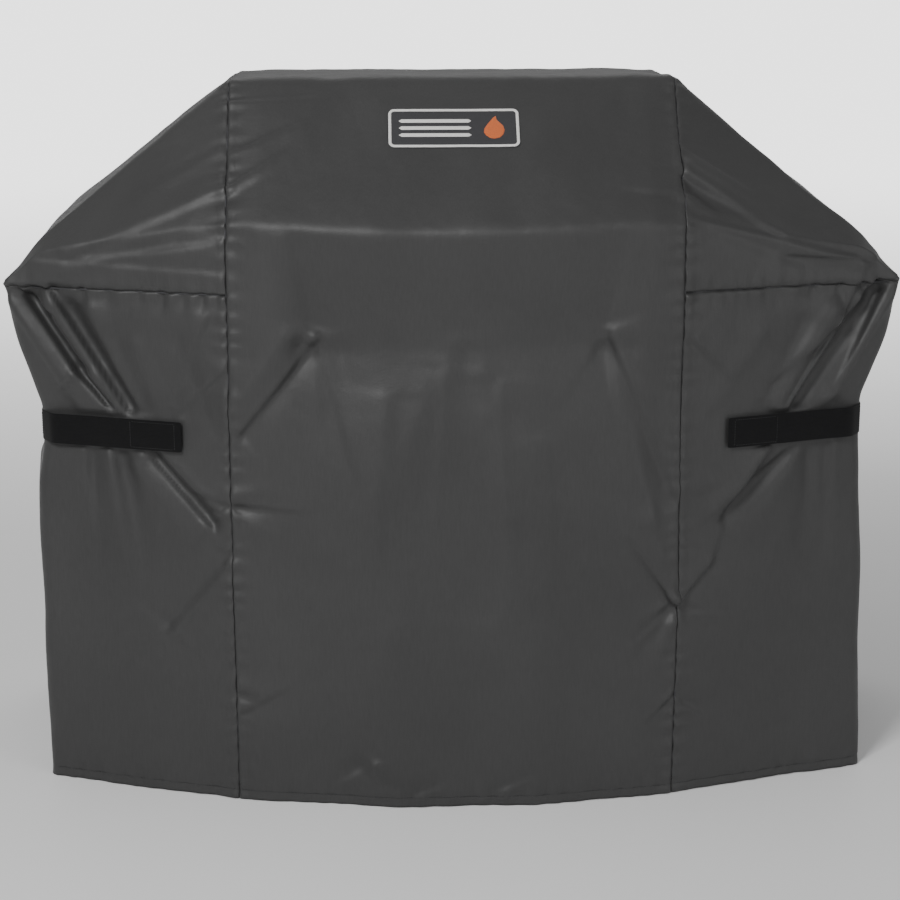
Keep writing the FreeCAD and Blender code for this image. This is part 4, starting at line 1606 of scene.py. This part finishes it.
HEMS = (
    ("centre_front", "centre", "centre_front_hem"),
    ("centre_back", "centre", "centre_back_hem"),
    ("left", "left_skirt", "left_skirt_hem"),
    ("right", "right_skirt", "right_skirt_hem"),
)
inside = {panel: [] for panel in PANELS}
for part, panel, node in HEMS:
    hem = hem_fold(part, surface)
    fix(hem, cloth, "hem_cloth", node)
    inside[panel].append(hem)
for side in SIDES:
    tape_piece = side_tape(side, lines)
    fix(tape_piece, tape, "seam_binding", f"{side}_seam_binding")
    inside[f"{side}_skirt"].append(tape_piece)
for side in SIDES:
    tape_piece = shoulder_tape(side, lines)
    fix(tape_piece, tape, "seam_binding", f"{side}_shoulder_binding")
    inside[f"{side}_shoulder"].append(tape_piece)
run = hem_stitching(surface)
fix(run, dark_thread, "dark_thread")
inside["centre"].append(run)
place_panels(panels, inside, cloth, coated_material())

web, hooks, pile = webbing_material(), hook_material(), loop_material()
for side, sign in SIDES.items():
    body = f"{side}_strap"
    fold_at, along, out = strap_frame(side)
    strap = webbing(side)
    paint(strap, web)
    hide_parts(f"{side}_strap_root", f"{side}_strap_tongue")
    start = Vector((*fold_at, STRAP_MIDDLE))
    start + STRAP_BEND * Vector((*along, 0))
    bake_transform(strap)
    low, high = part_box(f"{side}_strap_stitching")
    place = (low + high) / 2
    place.x = sign * (WAIST_X + WEBBING)
    box = stitch_box(f"{side}_strap_box", place, (0, 1, 0), (0, 0, 1), (sign, 0, 0),
                     high.y - low.y, high.z - low.z, cross=True)
    fix(box, dark_thread, "dark_thread", f"{side}_strap_stitching")
    middle = fold_at + along * PAD_AT + out * (WEBBING / 2)
    pad = stitch_box(f"{side}_pad_stitching", (*middle, STRAP_MIDDLE), (*along, 0), (0, 0, 1), (*out, 0),
                     *PAD_SEWN)
    fix(pad, dark_thread, "dark_thread", body=body)
    paint(frame["nodes"][f"{side}_hook_pad"], hooks)
    paint(frame["nodes"][f"{side}_loop_patch"], pile)

slope = Slope(surface)
white_thread = thread_material("white_thread", (0.78, 0.77, 0.75), 0.55 * MM)
flame_thread = thread_material("flame_thread", (0.62, 0.13, 0.025), 0.55 * MM)
fix(badge_ground(slope), twill_material(), "badge_ground", "badge_patch")
fix(badge_edge(slope), white_thread, "white_thread", "badge_border")
fix(badge_bars(slope), white_thread, "white_thread", "badge_grate_bars")
fix(badge_flame(slope), flame_thread, "flame_thread", "badge_flame")

make_stage()
make_camera()
